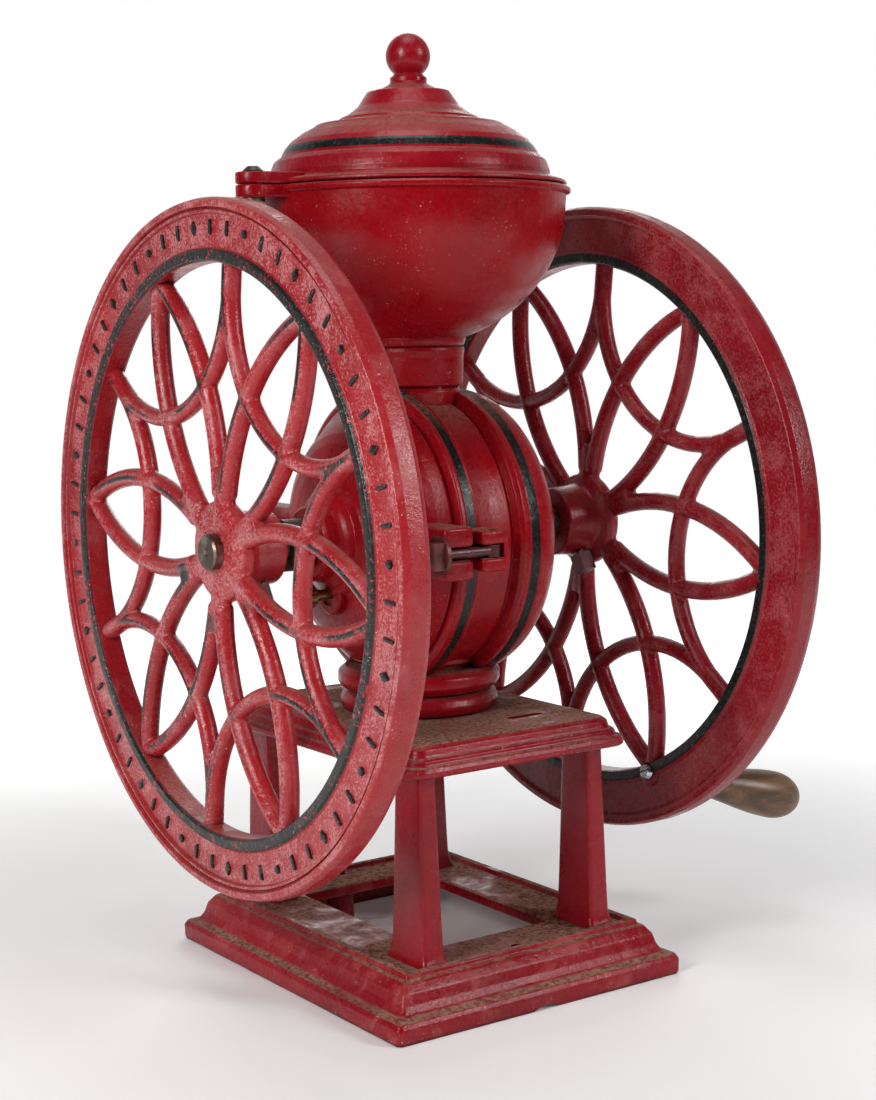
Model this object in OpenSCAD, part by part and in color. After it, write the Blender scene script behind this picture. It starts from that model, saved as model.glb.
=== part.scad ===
// Counter coffee mill with two flywheels.
// Origin: centre of the base's underside. +X runs along the shaft towards the wheel with the grip,
// -Y is the side shown in front, +Z is up. All sizes are in millimetres.

/* [Wheels] */
// Diameter of both flywheels
wheel_d = 495; // [480:1:510]
// Height of the shaft above the counter
hub_height = 329; // [326:1:332]
// Distance from the mill's centre to a wheel's outer face
wheel_reach = 179.5; // [178:0.5:184]
// Width of a wheel's rim along the shaft
rim_w = 22; // [18:1:26]
// Radial height of a wheel's rim
rim_h = 44.5; // [38:0.5:48]
// Width of a spoke bar
bar_w = 14; // [10:1:16]
// Turn of the spoke pattern from level
wheel_turn = 7; // [0:1:59]
// Diameter of the shaft
shaft_d = 26; // [24:1:27]

/* [Base and table] */
// Size of the base along the shaft
base_x = 256; // [240:1:270]
// Size of the base across the shaft
base_y = 310; // [296:1:320]
// Height of the base's moulded border
base_h = 42; // [36:1:46]
// Size of the table along the shaft
table_x = 196; // [186:1:206]
// Size of the table across the shaft
table_y = 266; // [256:1:276]
// Height of the table's lower edge
table_z = 175; // [165:1:180]
// Height of the table's stepped edge
table_t = 22; // [20:1:24]

/* [Hopper and lid] */
// Outer diameter of the bowl
bowl_d = 230; // [210:1:236]
// Depth of the bowl's round part
bowl_depth = 104; // [96:1:110]
// Height of the joint between bowl and lid
rim_z = 586; // [584:1:590]
// Diameter of the bowl's neck
neck_d = 77; // [70:1:80]
// Diameter of the lid's flange
lid_d = 232; // [226:1:236]
// Diameter of the ball knob
knob_d = 33; // [28:1:36]

/* [Handle] */
// Length of the wooden grip
grip_l = 122; // [100:1:130]
// Largest diameter of the grip
grip_d = 38; // [30:1:40]
// Lean of the grip away from the shaft
grip_tilt = 17; // [0:1:20]

/* [Grinding] */
// Outer diameter of the burrs
burr_d = 168; // [150:1:172]
// Gap between the burrs with the adjuster open
burr_gap = 3.5; // [3.3:0.1:4]
// Diameter of the adjusting screw
screw_d = 8; // [6:1:9]

/* [Hidden] */

$fn = 96;
red = "#8f1626";
dark_red = "#5c1420";
steel = "#6f6a64";
iron = "#3c3836";

wheel_r = wheel_d / 2;
rim_r = wheel_r - rim_h;
rim_x = wheel_reach - rim_w;
shaft_r = shaft_d / 2;
run_gap = 0.05;
seat_gap = 0.02;
hub_r = 26.5;
hub_x = 128;
hub_end = 173;
petals = 6;
petal_step = 360 / petals;

table_top = table_z + table_t;
plate_t = 10;
ledge_z = 38;
ledge_t = 8;
border = 20.5;
open_x = 54;
open_y = 86;
leg_x = 75.5;
leg_y = 103;
bolt_r = 4;
mount_y = 120;
mount_r = 4.5;
chute_r = 36;

drum_r = 111;
band_r = 103.5;
seam_x = -37;
wall = 7;
cup_r = band_r - wall;
ring_top = 213;
inlet_z = 440;
throat_r = 26;
clamp_y = 127;
clamp_z = hub_height;
clamp_pin_x = -23;
slot_h = 9.6;
tube_r = 34;
wall_x = -14;
ring_t = 7;
runner_x = wall_x - 4 - ring_t;
burr_t = 7;
fixed_x = runner_x - burr_t - burr_gap;
carrier_x = fixed_x - burr_t;
carrier_t = 7;
sleeve_r = 20;
adjust_drop = 39;
adjust_z = hub_height - adjust_drop;
collar_x = 100;

pivot_x = -134;
pin_r = 4;
tab_t = 9;
flange_t = 5;
neck_z = 470;

hole_r = 212;
hole_angle = -67;
hole_y = -hole_r * cos(hole_angle);
hole_z = hub_height + hole_r * sin(hole_angle);

// Turns a shape drawn upright so that its own height runs along the shaft.
module along_x() {
    rotate([90, 0, 90]) children();
}

// Places a shape on the shaft's axis.
module on_shaft() {
    translate([0, 0, hub_height]) along_x() children();
}

// Repeats a shape at both ends of the shaft.
module both_ends() {
    children();
    mirror([1, 0, 0]) children();
}

// Repeats a shape on both long sides of the mill.
module both_sides() {
    children();
    mirror([0, 1, 0]) children();
}

// Ring with a bore, along its own height.
module ring(outer, inner, height) {
    difference() {
        cylinder(r = outer, h = height);
        translate([0, 0, -1]) cylinder(r = inner, h = height + 2);
    }
}

// Bolt with a round shank and a square head, head downwards at height 0.
module square_bolt(shank_r, length, head_w, head_h) {
    translate([0, 0, head_h]) cylinder(r = shank_r, h = length, $fn = 32);
    translate([-head_w / 2, -head_w / 2, 0]) cube([head_w, head_w, head_h]);
}

// Quarter of an arc as points, centre c, from angle a to angle b.
function arc(c, r, a, b, n = 6) =
    [for (i = [0:n]) [c[0] + r * cos(a + (b - a) * i / n), c[1] + r * sin(a + (b - a) * i / n)]];

// ---- Base, legs and table ----

// Cross-section of the base's moulded border: distance in from the edge, height.
function border_outline() = concat(
    [[8, 0], [1, 0], [0, 1.5]],
    arc([4, 11], 4, 180, 90),
    arc([4, 24.5], 9.5, 270, 350),
    arc([22.5, 27.5], 9.5, 165, 100),
    [[border + 0.5, base_h - 3], [border + 2, base_h - 1], [border + 6, base_h - 1], [border + 7.5, ledge_z],
     [border + 12, ledge_z], [border + 12, ledge_z - ledge_t], [28, ledge_z - ledge_t],
     [22, 23], [14, 12], [8, 6]]);

// One side of a mitred frame: an outline run along X at the -Y edge.
module mitred_side(size_x, size_y, depth) {
    intersection() {
        translate([-size_x / 2, -size_y / 2, 0]) rotate([90, 0, 90])
            linear_extrude(size_x) children();
        translate([0, -size_y / 2, -1]) linear_extrude(table_top)
            polygon([[-size_x / 2, 0], [size_x / 2, 0], [size_x / 2 - depth, depth],
                [-size_x / 2 + depth, depth]]);
    }
}

module mitred_frame(size_x, size_y, depth) {
    for (turn = [0, 180]) {
        rotate(turn) mitred_side(size_x, size_y, depth) children();
        rotate(turn + 90) mitred_side(size_y, size_x, depth) children();
    }
}

module base_frame() {
    depth = border + 12;
    boss_r = 11;
    color(red) difference() {
        union() {
            mitred_frame(base_x, base_y, depth) polygon(border_outline());
            difference() {
                translate([-base_x / 2 + depth - 1, -base_y / 2 + depth - 1, ledge_z - ledge_t])
                    cube([base_x - 2 * depth + 2, base_y - 2 * depth + 2, ledge_t]);
                translate([-open_x, -open_y, 0]) cube([2 * open_x, 2 * open_y, base_h]);
            }
            both_sides() translate([0, -mount_y, 0]) cylinder(r = boss_r, h = ledge_z - 1);
        }
        both_sides() translate([0, -mount_y, -1]) cylinder(r = mount_r, h = base_h + 2, $fn = 48);
        both_sides() translate([0, -base_y / 2, -13.5]) rotate([0, 0, 90]) rotate([0, 90, 0])
            cylinder(r = 17.5, h = 24, center = true);
        for (sx = [-1, 1], sy = [-1, 1])
            translate([sx * leg_x, sy * leg_y, 0]) cylinder(r = bolt_r + 0.3, h = base_h, $fn = 48);
    }
}

// Tapered leg with a flared foot, standing on the base's ledge.
module leg(sx, sy) {
    top = [15, 31];
    bottom = [18, 40];
    flare = [23, 48];
    flare_h = 12;
    color(red) translate([sx * leg_x, sy * leg_y, ledge_z]) difference() {
        union() {
            hull() {
                translate([0, 0, flare_h]) slab(bottom, 1);
                translate([0, 0, table_z - ledge_z - 1]) slab(top, 1);
            }
            hull() {
                slab(flare, 2);
                translate([0, 0, flare_h]) slab(bottom, 1);
            }
        }
        translate([0, 0, -1]) cylinder(r = bolt_r + 0.3, h = table_z, $fn = 48);
    }
}

// Flat block with its corners cut off, centred on its own base.
module slab(size, height) {
    cut = 2.5;
    x = size[0] / 2;
    y = size[1] / 2;
    linear_extrude(height) polygon([[-x + cut, -y], [x - cut, -y], [x, -y + cut], [x, y - cut],
        [x - cut, y], [-x + cut, y], [-x, y - cut], [-x, -y + cut]]);
}

module leg_front_left() { leg(-1, -1); }
module leg_front_right() { leg(1, -1); }
module leg_back_left() { leg(-1, 1); }
module leg_back_right() { leg(1, 1); }

// Long bolts from under the base, up through the legs and into the table.
module leg_tie_bolts() {
    head_h = 7;
    start = ledge_z - ledge_t - head_h;
    color(steel) for (sx = [-1, 1], sy = [-1, 1])
        translate([sx * leg_x, sy * leg_y, start])
            square_bolt(bolt_r, table_z + 10 - start - head_h, 14, head_h);
}

// Cross-section of the table's stepped edge: distance in from the edge, height above its foot.
function table_outline() = concat(
    [[8, 0], [1.5, 0], [0, 1.5], [0, 4]],
    arc([3.5, 4.5], 3.5, 180, 90, 4),
    [[4.5, 9]],
    arc([7.5, 10], 2.8, 180, 90, 4),
    [[8.2, 14]],
    arc([12.5, 16.5], 3.5, 180, 90, 4),
    [[12.5, table_t], [30, table_t], [30, table_t - plate_t], [14, table_t - plate_t], [8, 3]]);

module table_plate() {
    depth = 30;
    color(red) difference() {
        union() {
            translate([0, 0, table_z]) mitred_frame(table_x, table_y, depth) polygon(table_outline());
            translate([-table_x / 2 + depth - 1, -table_y / 2 + depth - 1, table_top - plate_t])
                cube([table_x - 2 * depth + 2, table_y - 2 * depth + 2, plate_t]);
            for (sx = [-1, 1], sy = [-1, 1]) translate([sx * leg_x, sy * leg_y, table_z]) slab([24, 40], 14);
        }
        cylinder(r = chute_r, h = table_top + 1);
        for (sx = [-1, 1], sy = [-1, 1])
            translate([sx * leg_x, sy * leg_y, 0]) cylinder(r = bolt_r, h = table_z + 10.5, $fn = 48);
        foot_bolt_places() cylinder(r = 3.2, h = table_top + 1, $fn = 32);
        both_sides() translate([25, -84, table_top - 4]) linear_extrude(5) hull() {
            circle(r = 4, $fn = 24);
            translate([24, 0]) circle(r = 4, $fn = 24);
        }
    }
}

module foot_bolt_places() {
    for (turn = [45:90:315]) rotate(turn) translate([47, 0, 0]) children();
}

module foot_ring() {
    color(red) difference() {
        translate([0, 0, table_top]) rotate_extrude() polygon(concat(
            [[chute_r, 0], [58, 0]],
            arc([53, 7.5], 7.5, -50, 70, 8),
            [[54.5, ring_top - table_top], [chute_r, ring_top - table_top]]));
        foot_bolt_places() cylinder(r = 3.2, h = ring_top + 1, $fn = 32);
    }
}

// Four bolts from under the table, through the ring and into the housing's foot.
module foot_bolts() {
    head_h = 5;
    color(steel) foot_bolt_places() translate([0, 0, table_top - plate_t - head_h])
        square_bolt(3, ring_top + 8 - table_top + plate_t, 11, head_h);
}

// ---- Housing ----

// Outer outline of the housing's right part: radius, place along the shaft.
function body_outline() = concat(
    [[0, seam_x + 0.2], [drum_r - 3, seam_x + 0.2]],
    arc([drum_r - 2.5, seam_x + 3.5], 2.5, -60, 60, 5),
    [[drum_r - 1.2, seam_x + 6.5], [drum_r - 1.2, seam_x + 14], [drum_r - 0.6, seam_x + 15],
     [drum_r - 1.5, seam_x + 16], [band_r, seam_x + 17], [band_r, 13], [band_r - 1.5, 14.5], [drum_r - 2.5, 16]],
    arc([drum_r - 2.5, 20], 3, -60, 60, 5),
    [[drum_r - 1.5, 24.5], [drum_r - 1.5, 35]],
    arc([drum_r - 27, 36], 25, 8, 76, 6),
    [[70, 62], [37, 63], [31, 66], [28.5, 72], [27.5, collar_x - 1], [0, collar_x - 1]]);

// Upright way for the beans, cut off beside the wall of the grinding chamber.
module bean_way(r, low, high, side) {
    intersection() {
        translate([0, 0, low]) cylinder(r = r, h = high - low);
        translate([side, -r - 1, low]) cube([r - side + 1, 2 * r + 2, high - low]);
    }
}

module housing_body() {
    tube_end = 46;
    color(red) difference() {
        union() {
            on_shaft() rotate_extrude() polygon(body_outline());
            translate([0, 0, ring_top]) rotate_extrude() polygon(concat(
                [[0, 0], [56, 0], [57.5, 1]],
                arc([54.5, 8], 7.5, -50, 85, 8),
                [[54, 17.5], [50, 18], [47.5, 18.5], [47.5, 21], [50, 21.5], [50, 45], [0, 45]]));
            translate([0, 0, inlet_z - 45]) cylinder(r1 = 34, r2 = 36, h = 45);
            both_sides() lug_pair(seam_x + 2, 22, 29);
        }
        on_cover() rotate_extrude() polygon(cover_space());
        // Grinding chamber, the hollow behind its wall, and the feed tube through that hollow.
        on_shaft() translate([0, 0, seam_x - 1]) cylinder(r = cup_r, h = wall_x - seam_x + 1);
        difference() {
            on_shaft() translate([0, 0, wall_x + 5]) rotate_extrude() polygon([[tube_r + 6, 0], [cup_r, 0],
                [cup_r, 34], [cup_r - 6, 48], [76, 55], [tube_r + 6, 55]]);
            bean_way(throat_r + 6, hub_height, inlet_z, -throat_r - 6);
        }
        on_shaft() translate([0, 0, wall_x - 1]) cylinder(r = tube_r, h = tube_end - wall_x);
        bean_way(throat_r, hub_height, inlet_z + 1, wall_x + 6);
        translate([0, 0, inlet_z - 4]) cylinder(r1 = throat_r - 4, r2 = throat_r, h = 4.01);
        // Way down for the ground coffee.
        cylinder(r = chute_r, h = 246);
        on_shaft() translate([0, 0, 40]) cylinder(r = 19, h = 70);
        both_sides() clamp_slot(seam_x + 2, 18);
        both_sides() translate([clamp_pin_x, -clamp_y, clamp_z - 30]) cylinder(r = 3, h = 60, $fn = 32);
        foot_bolt_places() translate([0, 0, ring_top - 1]) cylinder(r = 3, h = 10, $fn = 32);
        hopper_screw_places() translate([0, 0, inlet_z - 12]) cylinder(r = 2.5, h = 14, $fn = 32);
    }
}

// Pair of clamp lugs on the -Y side, starting at x, as long as l and as high as h.
module lug_pair(x, l, h) {
    translate([x, -clamp_y - 6, clamp_z - h / 2]) cube([l, 64, h]);
}

// Slot between the lugs, open to the -Y side.
module clamp_slot(x, l) {
    translate([x - 1, -clamp_y - 8, clamp_z - slot_h / 2]) cube([l + 2, 14.5, slot_h]);
}

// Outer outline of the cover: radius, distance from the seam.
function cover_outline() = concat(
    [[0, 0], [103, 0], [103, 2.5], [100, 5], [96.5, 8.5], [92.5, 13], [88.5, 18.5], [84, 24], [79, 28.5],
     [72, 32], [62, 34.5], [44, 37], [39, 40]],
    arc([33, 43], 4, 0, 90, 4),
    [[28, 50]],
    arc([24, 57], 4, 0, 90, 4),
    [[0, 61]]);

// Space that the body leaves for the cover.
function cover_space() = [[0, -0.2], [105, -0.2], [105, 3.2], [101.5, 6.3], [98, 9.6], [94, 14.1],
    [90, 19.5], [85.5, 25], [80, 29.8], [72.5, 33.4], [62.3, 36], [0, 36]];

// Places a shape whose height runs from the seam towards the cover's nose.
module on_cover() {
    on_shaft() mirror([0, 0, 1]) translate([0, 0, -seam_x]) children();
}

module housing_cover() {
    screw_r = screw_d / 2 + run_gap;
    boss_end = 43;
    color(red) difference() {
        union() {
            on_cover() rotate_extrude() polygon(cover_outline());
            on_cover() translate([0, -adjust_drop, 10]) cylinder(r = 15.5, h = boss_end - 10);
            both_sides() lug_pair(seam_x - 30, 24, 37);
        }
        // Hollow of the cover around the sleeve that guides the burr carrier.
        on_cover() difference() {
            rotate_extrude() polygon([[0, -1], [cup_r, -1], [cup_r, 1], [91, 8], [85, 15], [73, 21], [60, 25],
                [34, 29], [0, 29]]);
            translate([0, 0, -2]) cylinder(r = sleeve_r, h = 40);
        }
        on_cover() translate([0, 0, -1]) cylinder(r = 17, h = 80);
        on_cover() translate([0, -adjust_drop, 10]) cylinder(r = screw_r, h = boss_end, $fn = 48);
        on_cover() guide_places() translate([0, 0, 20]) cylinder(r = 3, h = 12, $fn = 32);
        both_sides() clamp_slot(seam_x - 30, 24);
    }
}

// Eye bolts that swing on the pins between the body's lugs.
module clamp_bolts() {
    color(steel) both_sides() translate([0, -clamp_y, clamp_z]) {
        difference() {
            union() {
                translate([clamp_pin_x, 0, 0]) cylinder(r = 5.5, h = slot_h - 1, center = true, $fn = 48);
                translate([-84, 0, 0]) along_x() cylinder(r = 4, h = 57, $fn = 48);
            }
            translate([clamp_pin_x, 0, 0]) cylinder(r = 3 + seat_gap, h = slot_h, center = true, $fn = 48);
        }
    }
}

module clamp_pins() {
    color(steel) both_sides() translate([clamp_pin_x, -clamp_y, clamp_z - 14.5])
        cylinder(r = 3, h = 29, $fn = 32);
}

module clamp_washers() {
    color(steel) both_sides() translate([-70, -clamp_y, clamp_z]) along_x() ring(13.5, 4 + seat_gap, 2.8);
}

module clamp_nuts() {
    color(steel) both_sides() translate([-79, -clamp_y, clamp_z]) along_x() difference() {
        translate([-9.5, -9.5, 0]) cube([19, 19, 8.8]);
        translate([0, 0, -1]) cylinder(r = 4, h = 12, $fn = 48);
    }
}

// ---- Hopper and lid ----

// Half of the bowl's outline at a wall distance in from its outer face.
function bowl_curve(inset, n = 14) = [for (i = [0:n])
    let (a = -i * 70 / n)
    [(bowl_d / 2 - inset) * cos(a), rim_z - 11 + (bowl_depth - inset) * sin(a)]];

// Tab of the lid's pivot, from the rim out to the pin.
module pivot_tab(height) {
    difference() {
        hull() {
            translate([pivot_x, 0, 0]) cylinder(r = 13, h = height, $fn = 32);
            translate([-104, -20, 0]) cube([4, 40, height]);
        }
        translate([0, 0, -1]) cylinder(r = 104, h = height + 2);
    }
}

module hopper_bowl() {
    thick = 6;
    color(red) difference() {
        union() {
            rotate_extrude() polygon(concat(
                [[118, rim_z], [119, rim_z - 2], [118, rim_z - flange_t], [bowl_d / 2, rim_z - flange_t - 1]],
                bowl_curve(0),
                [[neck_d / 2 + 0.5, neck_z + 3], [neck_d / 2 - 0.5, neck_z], [throat_r, neck_z],
                 [throat_r, rim_z - 108]],
                [for (i = [14:-1:0]) bowl_curve(thick)[i]],
                [[bowl_d / 2 - thick, rim_z]]));
            translate([0, 0, rim_z - tab_t]) pivot_tab(tab_t);
        }
        translate([pivot_x, 0, rim_z - 20]) cylinder(r = pin_r + run_gap, h = 40, $fn = 48);
        hopper_screw_places() translate([0, 0, neck_z - 1]) cylinder(r = 2.55, h = 20, $fn = 32);
        hopper_screw_places() translate([0, 0, neck_z + 3.5]) cylinder(r = 4.8, h = 12, $fn = 32);
    }
}

// Short pipe between the housing's inlet and the bowl.
module neck_ring() {
    color(red) difference() {
        translate([0, 0, inlet_z]) rotate_extrude() polygon([[throat_r, 0], [neck_d / 2 - 3, 0],
            [neck_d / 2 - 1, 1], [neck_d / 2 - 0.5, 20], [neck_d / 2, neck_z - inlet_z - 2],
            [neck_d / 2 - 0.5, neck_z - inlet_z], [throat_r, neck_z - inlet_z]]);
        hopper_screw_places() translate([0, 0, inlet_z - 1]) cylinder(r = 2.55, h = 60, $fn = 32);
    }
}

module hopper_screw_places() {
    for (turn = [30:120:270]) rotate(turn) translate([32, 0, 0]) children();
}

// Screws from inside the bowl down into the housing's inlet.
module hopper_screws() {
    color(steel) hopper_screw_places() translate([0, 0, inlet_z - 10]) {
        cylinder(r = 2.5, h = neck_z - inlet_z + 14, $fn = 32);
        translate([0, 0, neck_z - inlet_z + 13.5]) cylinder(r1 = 4.4, r2 = 3.4, h = 3, $fn = 32);
    }
}

// Outline of the lid's outer face: radius, height above the rim.
function lid_outline() = [[lid_d / 2 - 1.5, 0.5], [lid_d / 2, 2], [lid_d / 2 - 0.5, 4], [lid_d / 2 - 3, 5.5],
    [106, 7], [103.5, 10], [103, 15], [101, 19], [97.5, 21.5], [96, 23], [93.5, 28], [90, 33], [84.5, 38],
    [78, 42.5], [70.5, 46], [69.5, 47.5], [53, 50.5], [51.5, 51.5], [45, 55], [38, 61], [33.5, 68],
    [31, 71], [28, 72], [18.5, 73.5], [14.5, 76], [13.5, 80], [13.5, 81.5], [11, 82.5]];

module lid() {
    thick = 5;
    top = rim_z + 0.5;
    color(red) difference() {
        union() {
            translate([0, 0, rim_z]) rotate_extrude() polygon(concat(
                lid_outline(),
                [[0, 82.5], [0, 68], [12, 67], [26, 65], [32, 58], [44, 49.5], [66, 42.5], [76, 38], [88, 27],
                 [97 - thick, 19], [97, 14], [98, 7], [102, 0.5]]));
            translate([0, 0, top]) pivot_tab(tab_t);
        }
        translate([pivot_x, 0, rim_z - 1]) cylinder(r = pin_r + run_gap, h = 20, $fn = 48);
        translate([0, 0, rim_z + 60]) cylinder(r = 4, h = 40, $fn = 48);
    }
}

module lid_knob() {
    stem_z = rim_z + 83;
    color(red) {
        difference() {
            translate([0, 0, stem_z + 14]) sphere(r = knob_d / 2);
            translate([-20, -20, stem_z - 20.5]) cube([40, 40, 20]);
        }
        translate([0, 0, stem_z - 0.5]) cylinder(r = 10.5, h = 4);
        translate([0, 0, stem_z - 14]) cylinder(r = 4, h = 20, $fn = 48);
    }
}

module lid_pivot_pin() {
    color(steel) translate([pivot_x, 0, 0]) {
        translate([0, 0, rim_z - tab_t - 5]) cylinder(r = pin_r, h = 2 * tab_t + 6, $fn = 48);
        translate([0, 0, rim_z + tab_t + 0.8]) cylinder(r1 = 7.5, r2 = 4, h = 3, $fn = 48);
    }
}

module lid_pivot_washer() {
    color(steel) translate([pivot_x, 0, rim_z - tab_t - 3]) ring(8, pin_r + seat_gap, 3);
}

// ---- Shaft and wheels ----

module shaft() {
    bevel = 1.5;
    half = wheel_reach + 1;
    color(steel) on_shaft() difference() {
        rotate_extrude() polygon([[0, -half], [shaft_r - bevel, -half], [shaft_r, bevel - half],
            [shaft_r, half - bevel], [shaft_r - bevel, half], [0, half]]);
        translate([0, 0, -half - 1]) cylinder(r1 = 3.6, r2 = 0.4, h = 5, $fn = 32);
        translate([0, 0, half - 4]) cylinder(r1 = 0.4, r2 = 3.6, h = 5, $fn = 32);
    }
}

// Curved bar between two points, bulging to the left of the way from a to b.
module bow(a, b, rise, width) {
    chord = norm(b - a);
    r = (chord * chord / 4 + rise * rise) / (2 * rise);
    translate((a + b) / 2) rotate(atan2(b[1] - a[1], b[0] - a[0])) translate([0, rise - r])
        intersection() {
            difference() {
                circle(r = r + width / 2);
                circle(r = r - width / 2);
            }
            translate([-chord / 2, r - rise - width]) square([chord, rise + 2 * width]);
        }
}

// Scallop between two stems, bulging towards the hub.
module scallop(width) {
    // The scallop's circle touches both stems, so its centre and radius follow from their angle.
    r = 109;
    centre = r / sin(petal_step / 2);
    intersection() {
        translate([centre, 0]) difference() {
            circle(r = r + width / 2);
            circle(r = r - width / 2);
        }
        polygon([[0, 0], [rim_r + 6, -tan(petal_step / 2) * (rim_r + 6)],
            [rim_r + 6, tan(petal_step / 2) * (rim_r + 6)]]);
        circle(r = rim_r + 2);
    }
}

module spokes() {
    tip = [rim_r + 3, 1];
    root = [36, 16];
    for (k = [0:petals - 1]) rotate(wheel_turn + k * petal_step) {
        bow([root[0], root[1]], [tip[0], tip[1]], 22, bar_w);
        mirror([0, 1]) bow([root[0], root[1]], [tip[0], tip[1]], 22, bar_w);
        scallop(bar_w - 1);
        rotate(petal_step / 2) translate([rim_r - 40, -bar_w / 2]) square([42, bar_w]);
    }
}

// Cross-section of the rim: radius, distance in from the outer face.
function rim_outline() = concat(
    [[rim_r, 3], [rim_r + 2, 1.2], [rim_r + 8, 1.2], [rim_r + 10.5, 4], [wheel_r - 10, 4], [wheel_r - 8.5, 1]],
    arc([wheel_r - 4, 4], 4, -110, 0, 5),
    arc([wheel_r - 4, rim_w - 4], 4, 0, 110, 5),
    [[wheel_r - 8.5, rim_w - 1], [wheel_r - 10, rim_w - 4], [rim_r + 10.5, rim_w - 4],
     [rim_r + 8, rim_w - 1.2], [rim_r + 2, rim_w - 1.2], [rim_r, rim_w - 3]]);

// Wheel at the +X end, with its outer face at wheel_reach and its handle hole at hole_angle + turn.
module wheel(turn = 0) {
    web = 14;
    web_x = wheel_reach - 19.5;
    studs = 36;
    difference() {
        union() {
            on_shaft() translate([0, 0, wheel_reach]) mirror([0, 0, 1]) rotate_extrude($fn = 144)
                polygon(rim_outline());
            on_shaft() translate([0, 0, web_x]) linear_extrude(web) spokes();
            on_shaft() translate([0, 0, hub_x]) cylinder(r = hub_r, h = hub_end - hub_x);
            on_shaft() translate([0, 0, web_x - 6]) cylinder(r1 = hub_r, r2 = 38, h = 6.5);
            on_shaft() translate([0, 0, web_x]) cylinder(r = 38, h = web - 2);
            on_shaft() for (k = [0:studs - 1]) rotate(k * 360 / studs)
                translate([rim_r + 23, 0, wheel_reach - 5]) cylinder(r = k % 2 == 0 ? 5 : 3, h = 3, $fn = 24);
            handle_place(turn) cylinder(r = 11, h = 17, center = true, $fn = 48);
        }
        on_shaft() translate([0, 0, hub_x - 1]) cylinder(r = shaft_r + seat_gap, h = 80);
        handle_place(turn) cylinder(r = 4.3, h = 60, center = true, $fn = 48);
        handle_place(turn) translate([0, 0, -30]) cylinder(r = 7, h = 20.5, $fn = 48);
        set_screw_place() cylinder(r = 4, h = 40, $fn = 32);
    }
}

// Frame of the handle hole: the hole's axis runs outwards along +Z here.
module handle_place(turn = 0) {
    radial = atan2(hole_z - hub_height, hole_y) - turn;
    translate([0, 0, hub_height]) rotate([radial, 0, 0]) translate([rim_x + rim_w / 2, hole_r, 0])
        rotate([0, 0, grip_tilt]) rotate([0, 90, 0]) children();
}

// Frame of a hub's set screw: +Z here points away from the shaft, down and a little to the front.
module set_screw_place() {
    translate([hub_x + 19.5, 0, hub_height]) rotate([150, 0, 0]) translate([0, 0, shaft_r]) children();
}

module left_wheel() { color(red) mirror([1, 0, 0]) wheel(240); }
module right_wheel() { color(dark_red) wheel(); }

module hub_set_screws() {
    color(steel) both_ends() set_screw_place() {
        cylinder(r = 4, h = 18, $fn = 32);
        translate([-6, -6, 17]) cube([12, 12, 15]);
    }
}

// ---- Bearings and feed ----

module left_bush() {
    color("#a3772f") on_shaft() translate([0, 0, 0.5 - collar_x])
        ring(17, shaft_r + run_gap, collar_x - 38.5);
}

module right_bush() {
    color("#a3772f") on_shaft() translate([0, 0, 50])
        ring(19, shaft_r + run_gap, collar_x - 50.5);
}

module thrust_collars() {
    color(iron) both_ends() on_shaft() translate([0, 0, collar_x]) difference() {
        ring(19, shaft_r + seat_gap, 19);
        translate([0, 0, 9.5]) rotate([0, 90, 0]) cylinder(r = 3, h = 30, $fn = 32);
    }
}

module collar_screws() {
    color(steel) both_ends() translate([collar_x + 9.5, shaft_r + seat_gap, hub_height]) rotate([-90, 0, 0])
        cylinder(r = 3, h = 5, $fn = 32);
}

// Coarse screw that pushes the beans along the feed tube to the burrs.
module feed_worm() {
    length = 44;
    rib = 5;
    color(iron) on_shaft() translate([0, 0, wall_x + 7]) difference() {
        union() {
            cylinder(r = 17, h = length, $fn = 48);
            linear_extrude(length, twist = 400, slices = 16) translate([16, -rib / 2]) square([16, rib]);
        }
        translate([0, 0, -1]) cylinder(r = shaft_r + run_gap, h = length + 2, $fn = 48);
    }
}

// Spider that carries the rotating burr: beans pass between its arms.
module burr_runner() {
    color(iron) on_shaft() translate([0, 0, runner_x]) difference() {
        union() {
            ring(burr_d / 2, 46, ring_t);
            cylinder(r = 22, h = 16);
            for (turn = [0:120:240]) rotate(turn) translate([15, -5, 0]) cube([35, 10, ring_t]);
        }
        translate([0, 0, -1]) cylinder(r = shaft_r + seat_gap, h = 30);
        screw_ring() translate([0, 0, -1]) cylinder(r = 2.5, h = 12, $fn = 32);
    }
}

module screw_ring() {
    for (turn = [60:120:300]) rotate(turn) translate([66, 0, 0]) children();
}

// Flat ring with radial teeth cut in the face at height 0.
module burr() {
    teeth = 24;
    difference() {
        ring(burr_d / 2, 44, burr_t);
        for (turn = [0:360 / teeth:359]) rotate(turn + 3) translate([48, -1.5, -1]) cube([burr_d, 3, 2.6]);
        screw_ring() translate([0, 0, -1]) cylinder(r = 2.5, h = 12, $fn = 32);
        screw_ring() translate([0, 0, -0.1]) cylinder(r = 5, h = 3.1, $fn = 32);
    }
}

module burr_screws() {
    screw_ring() {
        translate([0, 0, 0.6]) cylinder(r = 4.6, h = 2.4, $fn = 32);
        translate([0, 0, 1]) cylinder(r = 2.5, h = burr_t + 4, $fn = 32);
    }
}

module rotating_burr() {
    color(iron) on_shaft() translate([0, 0, runner_x - burr_t]) burr();
}

module runner_screws() {
    color(steel) on_shaft() translate([0, 0, runner_x - burr_t]) burr_screws();
}

module stationary_burr() {
    color(iron) on_shaft() translate([0, 0, fixed_x]) mirror([0, 0, 1]) burr();
}

module carrier_screws() {
    color(steel) on_shaft() translate([0, 0, fixed_x]) mirror([0, 0, 1]) burr_screws();
}

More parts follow.
